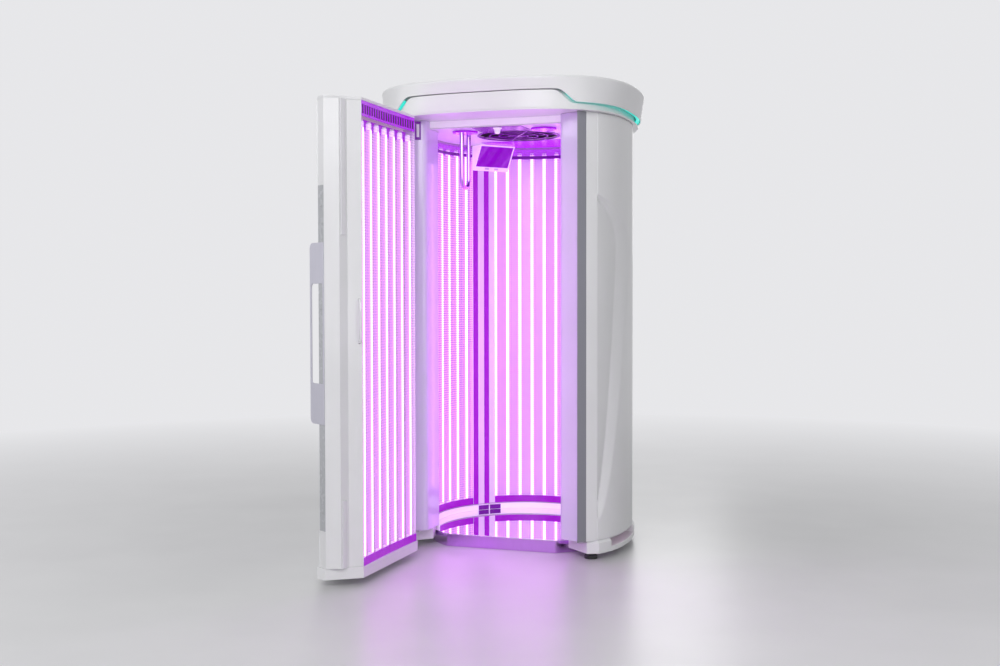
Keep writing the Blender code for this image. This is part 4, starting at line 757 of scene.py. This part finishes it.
def make_holders(name, body, point_at, start, end, levels, strip_wanted, turn=None):
    """A bank's rails, each with a painted glow of the lamps' light: a dark one over the tubes' feet, a
    brighter holder above and a strip across it.
    """
    bottom, lamp_low, lamp_top, top = levels
    face = band(point_at, start, end, RAIL_FACE, RAIL_BACK, WALL_STEPS)
    rail = bmesh.new()
    add_prism(rail, face, bottom, lamp_low + RAIL_LAP)
    piece(name + "_lower_rail", rail, "rail_painted_violet_glow", body, bevel=RAIL_BEVEL, turn=turn)
    if strip_wanted:
        strip = bmesh.new()
        add_prism(strip, face, lamp_top - RAIL_LAP, lamp_top - RAIL_LAP + STRIP_HEIGHT)
        piece(name + "_strip", strip, "dark_painted_violet_glow", body, bevel=RAIL_BEVEL, turn=turn)
    holder = bmesh.new()
    behind = band(point_at, start, end, HOLDER_OUT - HOLDER_THICK, HOLDER_OUT, WALL_STEPS)
    add_prism(holder, behind, lamp_top, top)
    piece(name + "_holder", holder, "trim_painted_violet_glow", body, bevel=HOLDER_BEVEL, turn=turn)


def make_wall_lamps():
    pillar_edge = PILLAR_ANGLE - PILLAR_HALF_ANGLE
    side_start = PILLAR_ANGLE + PILLAR_HALF_ANGLE
    banks = (
        ("rear", -pillar_edge, pillar_edge, REAR_LAMPS, REAR_MARGIN_ANGLE),
        ("right", side_start, WALL_END_ANGLE, SIDE_LAMPS, SIDE_MARGIN_ANGLE),
        ("left", -WALL_END_ANGLE, -side_start, SIDE_LAMPS, SIDE_MARGIN_ANGLE),
    )
    levels = (HOLDER_LOW, LAMP_LOW, LAMP_TOP, HOLDER_TOP)
    for name, start, end, count, margin in banks:
        angles = span(start + margin, end - margin, count - 1)
        lamps = lamp_places(wall_point, angles, LAMP_SETBACK)
        make_tubes("cabin_" + name, "cabin", lamps, LAMP_LOW, LAMP_TOP, "lamp_bank_" + name)
        make_lamp_ends("cabin_" + name, "cabin", lamps, LAMP_LOW, LAMP_TOP)
        first = start + SEAM_ANGLE
        last = end - SEAM_ANGLE
        node = "acrylic_" + name
        ends = (first, last, HOLDER_LOW, HOLDER_TOP)
        make_sheet("sheet_" + name, "acrylic", "cabin", wall_point, *ends, node)
        trim = TRIM_ANGLE + SEAM_ANGLE if name == "rear" else 0.0
        make_holders("bank_" + name, "cabin", wall_point, first + trim, last - trim, levels, True)


def make_door_lamps():
    reach = lamp_arc_reach(COLUMN_CORNER[0] - DOOR_LAMP_MARGIN)
    lamps = lamp_places(lamp_arc_point, span(-reach, reach, DOOR_LAMPS - 1), DOOR_LAMP_SETBACK)
    make_tubes("door", "door", lamps, DOOR_LAMP_LOW, DOOR_LAMP_TOP, "door_lamp_bank", DOOR_SWING)
    make_lamp_ends("door", "door", lamps, DOOR_LAMP_LOW, DOOR_LAMP_TOP, DOOR_SWING)
    edge = lamp_arc_reach(COLUMN_CORNER[0] - DOOR_SHEET_SIDE_GAP)
    ends = (-edge, edge, DOOR_LOW, DOOR_VENT_LOW - DOOR_SHEET_TOP_GAP)
    make_sheet("sheet_door", "acrylic_clear", "door", lamp_arc_point, *ends, "door_acrylic", DOOR_SWING)
    levels = (DOOR_LOW, DOOR_LAMP_LOW, DOOR_LAMP_TOP, DOOR_VENT_LOW)
    make_holders("door", "door", lamp_arc_point, -edge, edge, levels, False, DOOR_SWING)
    make_vent(edge)


def make_vent(edge):
    """The slotted strip over the door's lamps: rails and upright bars with a painted glow of the lamps'
    light, and a dark backing.
    """
    grille = bmesh.new()
    slot_low = DOOR_VENT_LOW + VENT_LOWER_RAIL
    slot_top = DOOR_HIGH - VENT_UPPER_RAIL
    rail = band(lamp_arc_point, -edge, edge, 0.0, VENT_THICK, VENT_STEPS)
    for bottom, top in ((DOOR_VENT_LOW, slot_low), (slot_top, DOOR_HIGH)):
        add_prism(grille, rail, bottom, top)
    bar = 2 * edge / (VENT_SLOTS * VENT_PITCH + 1)
    for i in range(VENT_SLOTS + 1):
        start = -edge + VENT_PITCH * i * bar
        outline = band(lamp_arc_point, start, start + bar, *VENT_BAR, 1)
        add_prism(grille, outline, slot_low - VENT_BAR_LAP, slot_top + VENT_BAR_LAP)
    piece("door_vent_grille", grille, "trim_painted_violet_glow", "door", ("door_vent_strip",), turn=DOOR_SWING)
    back = bmesh.new()
    outline = band(lamp_arc_point, -edge, edge, *VENT_BACK, VENT_STEPS)
    add_prism(back, outline, DOOR_VENT_LOW, DOOR_HIGH)
    piece("door_vent_back", back, "black_plastic", "door", turn=DOOR_SWING)


def make_pillar_strips():
    """Dark edge strips with a painted glow of the lamps' light, down both sides of each pillar's
    polished face.
    """
    for side, name in SIDES:
        work = bmesh.new()
        corners = []
        for way in (-1, 1):
            x, y = wall_point(PILLAR_ANGLE + way * PILLAR_HALF_ANGLE, -PILLAR_PROUD)
            corners.append(Vector((side * x, y)))
        run = (corners[1] - corners[0]).normalized()
        inward = Vector((-run.y, run.x))
        if inward.dot(corners[0]) > 0:
            inward = -inward
        for corner, way in zip(corners, (1, -1)):
            near = corner + run * way * PILLAR_STRIP_INSET
            far = corner + run * way * PILLAR_STRIP
            rise = inward * PILLAR_STRIP_THICK
            outline = [near, far, far + rise, near + rise]
            add_prism(work, [tuple(p) for p in outline], HOLDER_LOW, HOLDER_TOP)
        piece("pillar_strips_" + name, work, "rail_painted_violet_glow", "cabin")


def make_rear_trims():
    """White edge strips at both ends of the rear sheet."""
    edge = PILLAR_ANGLE - PILLAR_HALF_ANGLE - SEAM_ANGLE
    for side, name in SIDES:
        work = bmesh.new()
        start = side * (edge - TRIM_ANGLE)
        outline = band(wall_point, start, side * edge, RAIL_FACE, RAIL_BACK, TRIM_STEPS)
        add_prism(work, outline, HOLDER_LOW, HOLDER_TOP)
        piece("rear_trim_" + name, work, "white_column", "cabin", bevel=RAIL_BEVEL)


# Shells

def swoosh(along, z):
    """The depth of the flank's leaf-shaped scallop, 0 to 1: a floor that sinks towards a rear wall."""
    if not SWOOSH_BOTTOM < z < SWOOSH_TOP:
        return 0.0
    height = (z - SWOOSH_BOTTOM) / (SWOOSH_TOP - SWOOSH_BOTTOM)
    if height < SWOOSH_PEAK:
        share = (height / SWOOSH_PEAK) ** SWOOSH_TAPER
    else:
        share = 1 - ((height - SWOOSH_PEAK) / (1 - SWOOSH_PEAK)) ** SWOOSH_CROWN
    reach = SWOOSH_REACH * share
    wall = SWOOSH_WALL_LEAST + SWOOSH_WALL_GROWTH * reach
    sunk = ramp(along, 0.0, max(reach - wall, SWOOSH_FLOOR_LEAST))
    floor = SWOOSH_FRONT + (1 - SWOOSH_FRONT) * sunk
    return (1 + share) / 2 * floor * ramp(reach - along, 0.0, wall)


def make_side_panel(side, name):
    """A vacuum-formed flank with its scallop."""
    work = bmesh.new()
    columns = 80
    rows = 220
    grid = []
    for i in range(columns + 1):
        along = i / columns
        angle = BAND_END_ANGLE + along * (REAR_SPLIT_ANGLE - SEAM_ANGLE - BAND_END_ANGLE)
        column = []
        for z in span(BODY_LOW, BODY_TOP, rows):
            x, y = body_point(angle, -SWOOSH_DEPTH * swoosh(along, z))
            column.append(work.verts.new((side * x, y, z)))
        grid.append(column)
    for here, there in zip(grid, grid[1:]):
        for k in range(rows):
            corners = (here[k], there[k], there[k + 1], here[k + 1])
            work.faces.new(corners if side > 0 else tuple(reversed(corners)))
    panel = piece("flank_" + name, work, "white_shell", "cabin", ("side_panel_" + name,))
    wall = panel.modifiers.new("wall", "SOLIDIFY")
    wall.thickness = COVER
    wall.offset = -1.0


def from_front(angle):
    return min(angle, 360.0 - angle)


def cap_edge(angle):
    """The height of the cap's lower edge: high across the front, stepped down along the sides."""
    start = STEP_START_ANGLE - STEP_BLEND_ANGLE
    step = smooth_ramp(from_front(angle), start, STEP_END_ANGLE + STEP_BLEND_ANGLE)
    return CANOPY_TOP - CAP_FRONT_DROP - (CAP_SIDE_DROP - CAP_FRONT_DROP) * step


def fascia_edge(angle):
    """The height of the fascia's upper edge, a groove below the cap."""
    opening = smooth_ramp(from_front(angle), STEP_END_ANGLE, GROOVE_OPEN_ANGLE)
    return cap_edge(angle) - GROOVE_FRONT - (GROOVE_SIDE - GROOVE_FRONT) * opening


def level(z):
    return lambda angle: z


def canopy_ring(work, inset, powers, height):
    ring = []
    for i in range(CANOPY_STEPS):
        angle = 360.0 * i / CANOPY_STEPS
        ring.append(work.verts.new((*canopy_point(angle, inset, powers), height(angle))))
    return ring


def grown(inset, more):
    return (inset[0] + more, inset[1] + more)


def make_canopy():
    """The cap with its rounded crown and stepped lip, the fascia under it and the light between."""
    work = bmesh.new()
    lower = (FASCIA_INSET[0] - COVER, CAP_TAPER)
    flush = (0.0, 0.0)
    rings = []
    for t in span(0.0, 1.0, CROWN_STEPS):
        turn = t * math.pi / 2
        inset = grown(flush, CROWN_INSET * (1 - math.sin(turn)))
        crown = level(CANOPY_TOP - CROWN_DROP * (1 - math.cos(turn)))
        rings.append(canopy_ring(work, inset, CANOPY_POWERS, crown))
    rings.append(canopy_ring(work, lower, CANOPY_LOWER_POWERS, cap_edge))
    rings.append(canopy_ring(work, grown(lower, CAP_LIP), CANOPY_LOWER_POWERS, cap_edge))
    rings.append(canopy_ring(work, grown(flush, CAP_WALL), CANOPY_POWERS, level(CANOPY_TOP - CAP_ROOF)))
    close_loft(work, rings)
    piece("canopy_shell", work, "white_shell", "cabin", ("canopy_cap",), bevel=0.0015)

    work = bmesh.new()
    skin = grown(FASCIA_INSET, COVER)
    rings = [
        canopy_ring(work, FASCIA_INSET, CANOPY_LOWER_POWERS, level(CANOPY_LOW)),
        canopy_ring(work, FASCIA_INSET, CANOPY_LOWER_POWERS, fascia_edge),
        canopy_ring(work, skin, CANOPY_LOWER_POWERS, fascia_edge),
        canopy_ring(work, skin, CANOPY_LOWER_POWERS, level(CANOPY_LOW)),
    ]
    bridge(work, rings + rings[:1])
    piece("canopy_fascia_skin", work, "white_shell", "cabin", ("canopy_fascia",), bevel=0.0012)

    work = bmesh.new()
    outer, inner = ACCENT_INSET
    rows = []
    for angle in span(ACCENT_START_ANGLE, 360.0 - ACCENT_START_ANGLE, ACCENT_STEPS):
        z = cap_edge(angle) + ACCENT_LIFT
        row = []
        for inset, rise in ((outer, 0.0), (inner, 0.0), (inner, ACCENT_LIFT), (outer, ACCENT_LIFT)):
            row.append(work.verts.new((*canopy_point(angle, inset, CANOPY_LOWER_POWERS), z + rise)))
        rows.append(row)
    close_loft(work, rows)
    piece("accent_strip", work, "teal_diffuser", "cabin", ("accent_light",))


# Small fittings on the door, the left post, the floor and the ceiling

def add_box(work, origin, along, out, bottom, top, width, thick):
    """A block that stands on a plan line: its width along it and its thickness out of it."""
    a = origin - along * width / 2
    b = origin + along * width / 2
    add_prism(work, [tuple(p) for p in (a, b, b + out * thick, a + out * thick)], bottom, top)


def facing(start, end, toward):
    """The middle of a plan line, its direction and its normal on the side of a given point."""
    start, end, toward = Vector(start), Vector(end), Vector(toward)
    along = (end - start).normalized()
    out = Vector((-along.y, along.x))
    if out.dot(toward - start) < 0:
        out = -out
    return (start + end) / 2, along, out


def add_screw(work, centre, out, z):
    """A round-headed screw with a cross on its head, its axis lying level."""
    head = bmesh.new()
    profile = ((SCREW_RADIUS, 0.0), (SCREW_RADIUS, SCREW_RIM), (SCREW_CROWN, SCREW_RISE))
    add_turned(head, profile, 0.0, 0.0, SCREW_SIDES)
    for turn in (0.0, math.pi / 2):
        bar = Matrix.Rotation(turn, 4, "Z") @ Matrix.Diagonal((*SCREW_CROSS, 1.0))
        bmesh.ops.create_cube(head, size=1.0, matrix=Matrix.Translation((0.0, 0.0, SCREW_RISE)) @ bar)
    axis = Vector((out.x, out.y, 0.0))
    turned = axis.to_track_quat("Z", "Y").to_matrix().to_4x4()
    place = Matrix.Translation((centre.x, centre.y, z)) @ turned
    bmesh.ops.transform(head, matrix=place, verts=head.verts)
    loose = bpy.data.meshes.new("loose")
    head.to_mesh(loose)
    head.free()
    work.from_mesh(loose)
    bpy.data.meshes.remove(loose)


def make_fittings():
    """The door's edge plate with its screws, seal strips in its recess, and the left post's keeper."""
    outside = (CHAMFER_END[0] + 1.0, CHAMFER_END[1])
    middle, along, out = facing(FLANGE_OUTER, CHAMFER_END, outside)
    plate = bmesh.new()
    width = (Vector(CHAMFER_END) - Vector(FLANGE_OUTER)).length - PLATE_MARGIN
    add_box(plate, middle + out * PLATE_GAP, along, out, PLATE_LOW, PLATE_TOP, width, PLATE_THICK)
    piece("door_edge_plate", plate, "mid_grey_panel", "door", bevel=0.0005, turn=DOOR_SWING)
    screws = bmesh.new()
    for z in SCREW_LEVELS:
        add_screw(screws, middle + out * (PLATE_THICK + SCREW_GAP), out, z)
    piece("door_screws", screws, "steel", "door", turn=DOOR_SWING)

    middle, along, out = facing(FLANGE_INNER, RECESS_CORNER, (FLANGE_INNER[0], 0.0))
    middle += out * SEAT_GAP - along * SEAL_SHIFT
    for name, bottom, top in (("upper", SEAL_UPPER_LOW, DOOR_HIGH), ("lower", DOOR_LOW, SEAL_LOWER_TOP)):
        seal = bmesh.new()
        add_box(seal, middle, along, out, bottom, top, SEAL_WIDTH, SEAL_THICK)
        piece("door_seal_" + name, seal, "white_column", "door", bevel=0.0012, turn=DOOR_SWING)

    corner = (-DOORWAY_HALF_WIDTH, POST_FRONT_Y)
    ridge_foot = (-DOORWAY_HALF_WIDTH - RIDGE_FOOT[0], POST_FRONT_Y - RIDGE_FOOT[1])
    middle, along, out = facing(corner, ridge_foot, (corner[0], corner[1] - 1.0))
    middle += out * SEAT_GAP - along * KEEPER_SHIFT
    plate = bmesh.new()
    add_box(plate, middle, along, out, KEEPER_LOW, KEEPER_TOP, KEEPER_WIDTH, KEEPER_THICK)
    # The keeper plate carries a painted glow of the lamps' light.
    piece("keeper_plate", plate, "dark_painted_violet_glow", "cabin", bevel=0.0008)
    pad = bmesh.new()
    middle += out * KEEPER_THICK
    pad_low = KEEPER_LOW + PAD_MARGIN
    add_box(pad, middle, along, out, pad_low, KEEPER_TOP - PAD_MARGIN, PAD_WIDTH, PAD_THICK)
    piece("keeper_pad", pad, "white_column", "cabin", bevel=0.0004)


def make_skirting_clips():
    """Dark clips with a painted glow of the lamps' light, on the skirting before each pillar."""
    bottom = low("floor_skirting").z + CLIP_FOOT_GAP
    top = high("floor_skirting").z - CLIP_HEAD_GAP
    outer = SKIRTING_FACE - SEAT_GAP

    def floor_point(angle, radius):
        turn = math.radians(angle)
        return (math.sin(turn) * radius, FLOOR_CENTRE_Y + math.cos(turn) * radius)

    for side, name in SIDES:
        work = bmesh.new()
        for start, end in ((-CLIP_ANGLE, -CLIP_SPLIT_ANGLE), (CLIP_SPLIT_ANGLE, CLIP_ANGLE)):
            first = side * (CLIP_MIDDLE_ANGLE + start)
            last = side * (CLIP_MIDDLE_ANGLE + end)
            outline = band(floor_point, first, last, outer - CLIP_THICK, outer, TRIM_STEPS)
            add_prism(work, outline, bottom, top)
        piece("skirting_clip_" + name, work, "dark_painted_violet_glow", "cabin", bevel=0.0006)


def make_ceiling_trims():
    """Dark plates with a painted glow of the lamps' light under the ceiling: one before the fan's guard
    and one from behind it to the wall.
    """
    top = low("ceiling_panel").z - CEILING_GAP
    bottom = top - CEILING_TRIM_THICK
    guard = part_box("fan_guard")
    middle = (guard[0] + guard[1]) / 2
    radius = (guard[1].x - guard[0].x) / 2 + GUARD_SIDE_GAP
    near = [math.radians(a) for a in span(-FRONT_TRIM_ANGLE, FRONT_TRIM_ANGLE, ARC_STEPS)]
    outline = [(middle.x + math.sin(a) * radius, middle.y - math.cos(a) * radius) for a in near]
    outline += list(FRONT_TRIM) + [(-x, y) for x, y in reversed(FRONT_TRIM)]
    work = bmesh.new()
    add_prism(work, outline, bottom, top)
    piece("ceiling_trim_front", work, "dark_painted_violet_glow", "cabin", bevel=0.0006)

    arc = [wall_point(a, -REAR_TRIM_INSET) for a in span(REAR_TRIM_ANGLE, -REAR_TRIM_ANGLE, ARC_STEPS)]
    half = arc[0][0]
    front = guard[1].y + GUARD_REAR_GAP
    work = bmesh.new()
    add_prism(work, [(-half, front), (half, front)] + arc, bottom, top)
    piece("ceiling_trim_rear", work, "trim_painted_violet_glow", "cabin", bevel=0.0006)


def make_nozzle():
    """A small mist nozzle under the ceiling, before the fan, white with a painted glow of the lamps'
    light.
    """
    work = bmesh.new()
    top = low("ceiling_panel").z - NOZZLE_GAP
    profile = [(radius, top - drop) for radius, drop in NOZZLE_PROFILE]
    add_turned(work, profile, *NOZZLE, NOZZLE_SIDES)
    piece("ceiling_nozzle", work, "white_painted_lamp_glow", "cabin")


def make_hand_grip():
    """A U-shaped steel tube with a painted violet reflection of the lamps' light, hanging from a round
    plate with a painted glow under the ceiling.
    """
    bottom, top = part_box("hand_grip")
    middle = (bottom + top) / 2
    half = GRIP_LEG_SPACING / 2
    bend = half - GRIP_BEND_INSET
    bend_z = bottom.z + GRIP_TUBE_RADIUS + bend
    root = top.z - ROSETTE_THICK / 2
    path = [Vector((middle.y - half, root))]
    for angle in span(180.0, 360.0, ARC_STEPS):
        turn = math.radians(angle)
        y = middle.y + math.cos(turn) * bend + math.copysign(GRIP_BEND_INSET, math.cos(turn))
        path.append(Vector((y, bend_z + math.sin(turn) * bend)))
    path.append(Vector((middle.y + half, root)))
    tube = bmesh.new()
    rings = []
    for i, here in enumerate(path):
        run = (path[min(i + 1, len(path) - 1)] - path[max(i - 1, 0)]).normalized()
        ring = []
        for k in range(GRIP_SIDES):
            turn = math.tau * k / GRIP_SIDES
            across = math.cos(turn) * GRIP_TUBE_RADIUS
            x = middle.x + math.sin(turn) * GRIP_TUBE_RADIUS
            ring.append(tube.verts.new((x, here.x - run.y * across, here.y + run.x * across)))
        rings.append(ring)
    close_loft(tube, rings)
    piece("grip_tube", tube, "steel_painted_violet_reflection", "cabin", ("hand_grip",))
    plate = bmesh.new()
    radius = (top.x - bottom.x) / 2
    edge = top.z - ROSETTE_THICK
    profile = ((radius - ROSETTE_EDGE, edge), (radius, edge + ROSETTE_EDGE), (radius, top.z))
    add_turned(plate, profile, middle.x, middle.y, ROSETTE_SIDES)
    piece("grip_rosette", plate, "trim_painted_violet_glow", "cabin")


# Finishes of the CAD nodes that stay, each node with the width of its bevel

KEPT = {
    "white_shell": (
        ("band_left", 0.0015),
        ("band_right", 0.0015),
        ("canopy_frame", 0.0),
        ("ceiling_panel", 0.0),
        ("door_base", 0.004),
        ("door_panel_lower", 0.001),
        ("door_panel_upper", 0.001),
        ("door_stile_free", 0.0015),
        ("door_stile_hinge", 0.0015),
        ("door_top", 0.0015),
        ("plinth_left", 0.003),
        ("plinth_right", 0.003),
        ("rear_panel", 0.001),
        ("roof_plate", 0.002),
    ),
    # The columns' lilac is painted light from the lamps.
    "column_painted_lilac_light": (("column_left", 0.001), ("column_right", 0.001)),
    "white_column": (
        ("pillar_left", 0.0015),
        ("pillar_right", 0.0015),
        ("door_pull", 0.0),
    ),
    "grey_aluminium": (("post_left", 0.0008), ("post_right", 0.0008)),
    "lilac_aluminium": (("door_handle", 0.0012),),
    # The tray's violet tint is a painted reflection of the lamps' light.
    "steel_painted_violet_reflection": (("base_tray", 0.001),),
    "mirror": (("floor_mirror", 0.001),),
    # These white parts carry a painted glow of the lamps' light.
    "white_painted_lamp_glow": (
        ("control_housing", 0.003),
        ("floor_skirting", 0.001),
        ("header_beam", 0.002),
    ),
    # The reflectors carry a painted glow of the lamps' light.
    "reflector_sheet": (("reflector", 0.0), ("door_reflector", 0.0)),
    "black_plastic": (
        ("fan_frame", 0.001),
        ("fan_rotor", 0.0008),
        ("levelling_foot_left", 0.0015),
        ("levelling_foot_right", 0.0015),
        ("mains_inlet", 0.0015),
    ),
    # The fan's guard and the ceiling cover carry a painted glow of the lamps' light.
    "dark_painted_violet_glow": (("fan_guard", 0.0),),
    "trim_painted_violet_glow": (("ceiling_cover", 0.002),),
    "display_glass": (("control_display", 0.0008),),
    "key_plastic": (("start_key", 0.001), ("stop_key", 0.001)),
    "steel": (
        ("ballast_tray", 0.001),
        ("hinge_lower", 0.001),
        ("hinge_upper", 0.0005),
        ("lower_lamp_ring", 0.0),
        ("upper_lamp_ring", 0.0),
    ),
    "mid_grey_panel": (("door_panel_middle", 0.001),),
}


# Stage

BACKGROUND = (0.80, 0.80, 0.82)
AMBIENT = 0.18
FLOOR_FADE = (1.6, 7.0)
FLOOR_HALF_SIZE = 30.0
FLOOR_DROP = 0.0005
FLOOR_CLOUD_SCALE = 1.5
FLOOR_TONES = ((0.66, 0.66, 0.67), (0.71, 0.71, 0.72))

# Softboxes: place, the point they face, side length and power
SOFTBOXES = {
    "key": ((1.2, -6.8, 4.2), (0.0, 0.0, 1.2), 4.0, 195.0),
    "right": ((4.8, -5.0, 2.6), (0.0, 0.0, 1.2), 4.0, 66.0),
    "rear": ((-1.8, 6.3, 3.6), (0.0, 0.0, 1.2), 4.0, 110.0),
    "fill": ((-4.8, -3.6, 3.2), (0.0, 0.0, 1.2), 4.0, 80.0),
    "top": ((0.3, -0.6, 5.2), (0.0, 0.0, 1.0), 3.0, 26.0),
}


def seen_by_eye(nodes, links):
    """1 for rays from the camera, also by way of gloss or glass, and 0 for light on the object."""
    path = nodes.new("ShaderNodeLightPath")
    either = nodes.new("ShaderNodeMath")
    either.operation = "MAXIMUM"
    links.new(path.outputs["Is Camera Ray"], either.inputs[0])
    links.new(path.outputs["Is Glossy Ray"], either.inputs[1])
    total = nodes.new("ShaderNodeMath")
    total.operation = "MAXIMUM"
    links.new(either.outputs["Value"], total.inputs[0])
    links.new(path.outputs["Is Transmission Ray"], total.inputs[1])
    return total.outputs["Value"]


def make_stage():
    """A pale floor and a soft pale surround."""
    work = bmesh.new()
    bmesh.ops.create_grid(work, x_segments=1, y_segments=1, size=FLOOR_HALF_SIZE)
    mesh = bpy.data.meshes.new("floor")
    work.to_mesh(mesh)
    work.free()
    floor = bpy.data.objects.new("floor", mesh)
    floor.location.z = -FLOOR_DROP
    bpy.context.scene.collection.objects.link(floor)
    nodes, links, shader = shader_of("floor")
    where = coordinates(nodes, links)
    cloud = noise(nodes, links, where, FLOOR_CLOUD_SCALE)
    pale = shades(nodes, links, cloud, noise_stops(*FLOOR_TONES))
    links.new(pale, shader.inputs["Base Color"])
    shader.inputs["Roughness"].default_value = 0.32
    distance = nodes.new("ShaderNodeVectorMath")
    distance.operation = "LENGTH"
    links.new(where, distance.inputs[0])
    far = remap(nodes, links, distance.outputs["Value"], 0.0, 1.0, FLOOR_FADE)
    seen = nodes.new("ShaderNodeMath")
    seen.operation = "MULTIPLY"
    links.new(far, seen.inputs[0])
    links.new(seen_by_eye(nodes, links), seen.inputs[1])
    glow = nodes.new("ShaderNodeEmission")
    glow.inputs["Color"].default_value = (*BACKGROUND, 1.0)
    blend = nodes.new("ShaderNodeMixShader")
    links.new(seen.outputs["Value"], blend.inputs["Fac"])
    links.new(shader.outputs["BSDF"], blend.inputs[1])
    links.new(glow.outputs["Emission"], blend.inputs[2])
    links.new(blend.outputs["Shader"], nodes["Material Output"].inputs["Surface"])
    mesh.materials.append(FINISH["floor"])

    world = bpy.data.worlds.new("surround")
    bpy.context.scene.world = world
    world.use_nodes = True
    nodes = world.node_tree.nodes
    links = world.node_tree.links
    ambient = nodes["Background"]
    ambient.inputs["Color"].default_value = (1.0, 1.0, 1.0, 1.0)
    ambient.inputs["Strength"].default_value = AMBIENT
    shown = nodes.new("ShaderNodeBackground")
    shown.inputs["Color"].default_value = (*BACKGROUND, 1.0)
    shown.inputs["Strength"].default_value = 1.0
    choose = nodes.new("ShaderNodeMixShader")
    links.new(seen_by_eye(nodes, links), choose.inputs["Fac"])
    links.new(ambient.outputs["Background"], choose.inputs[1])
    links.new(shown.outputs["Background"], choose.inputs[2])
    links.new(choose.outputs["Shader"], nodes["World Output"].inputs["Surface"])


def add_softbox(name, place, target, side, power):
    light = bpy.data.lights.new(name, "AREA")
    light.shape = "SQUARE"
    light.size = side
    light.energy = power
    obj = bpy.data.objects.new(name, light)
    obj.location = place
    obj.rotation_euler = (Vector(target) - Vector(place)).to_track_quat("-Z", "Y").to_euler()
    bpy.context.scene.collection.objects.link(obj)


def make_camera():
    """The photograph's viewpoint: place, heading, tilt and a slight roll."""
    camera = bpy.data.cameras.new("camera")
    camera.lens = 44.485
    camera.sensor_width = 36.0
    obj = bpy.data.objects.new("camera", camera)
    obj.location = (2.0027, -6.2319, 1.2909)
    heading = math.radians(18.77)
    tilt = math.radians(-1.784)
    roll = math.radians(-0.095)
    level_run = math.cos(tilt)
    view = Vector((-math.sin(heading) * level_run, math.cos(heading) * level_run, math.sin(tilt)))
    turned = view.to_track_quat("-Z", "Y").to_matrix().to_4x4() @ Matrix.Rotation(roll, 4, "Z")
    obj.rotation_euler = turned.to_euler()
    bpy.context.scene.collection.objects.link(obj)
    bpy.context.scene.camera = obj


for finish, rows in KEPT.items():
    for node, bevel in rows:
        dress(node, finish, bevel)

make_camera()
make_wall_lamps()
make_door_lamps()
make_pillar_strips()
make_rear_trims()
make_fittings()
make_skirting_clips()
make_ceiling_trims()
make_nozzle()
make_hand_grip()
for side, name in SIDES:
    make_side_panel(side, name)
make_canopy()
make_stage()
for name, softbox in SOFTBOXES.items():
    add_softbox(name, *softbox)
bpy.context.scene.view_settings.view_transform = "Standard"
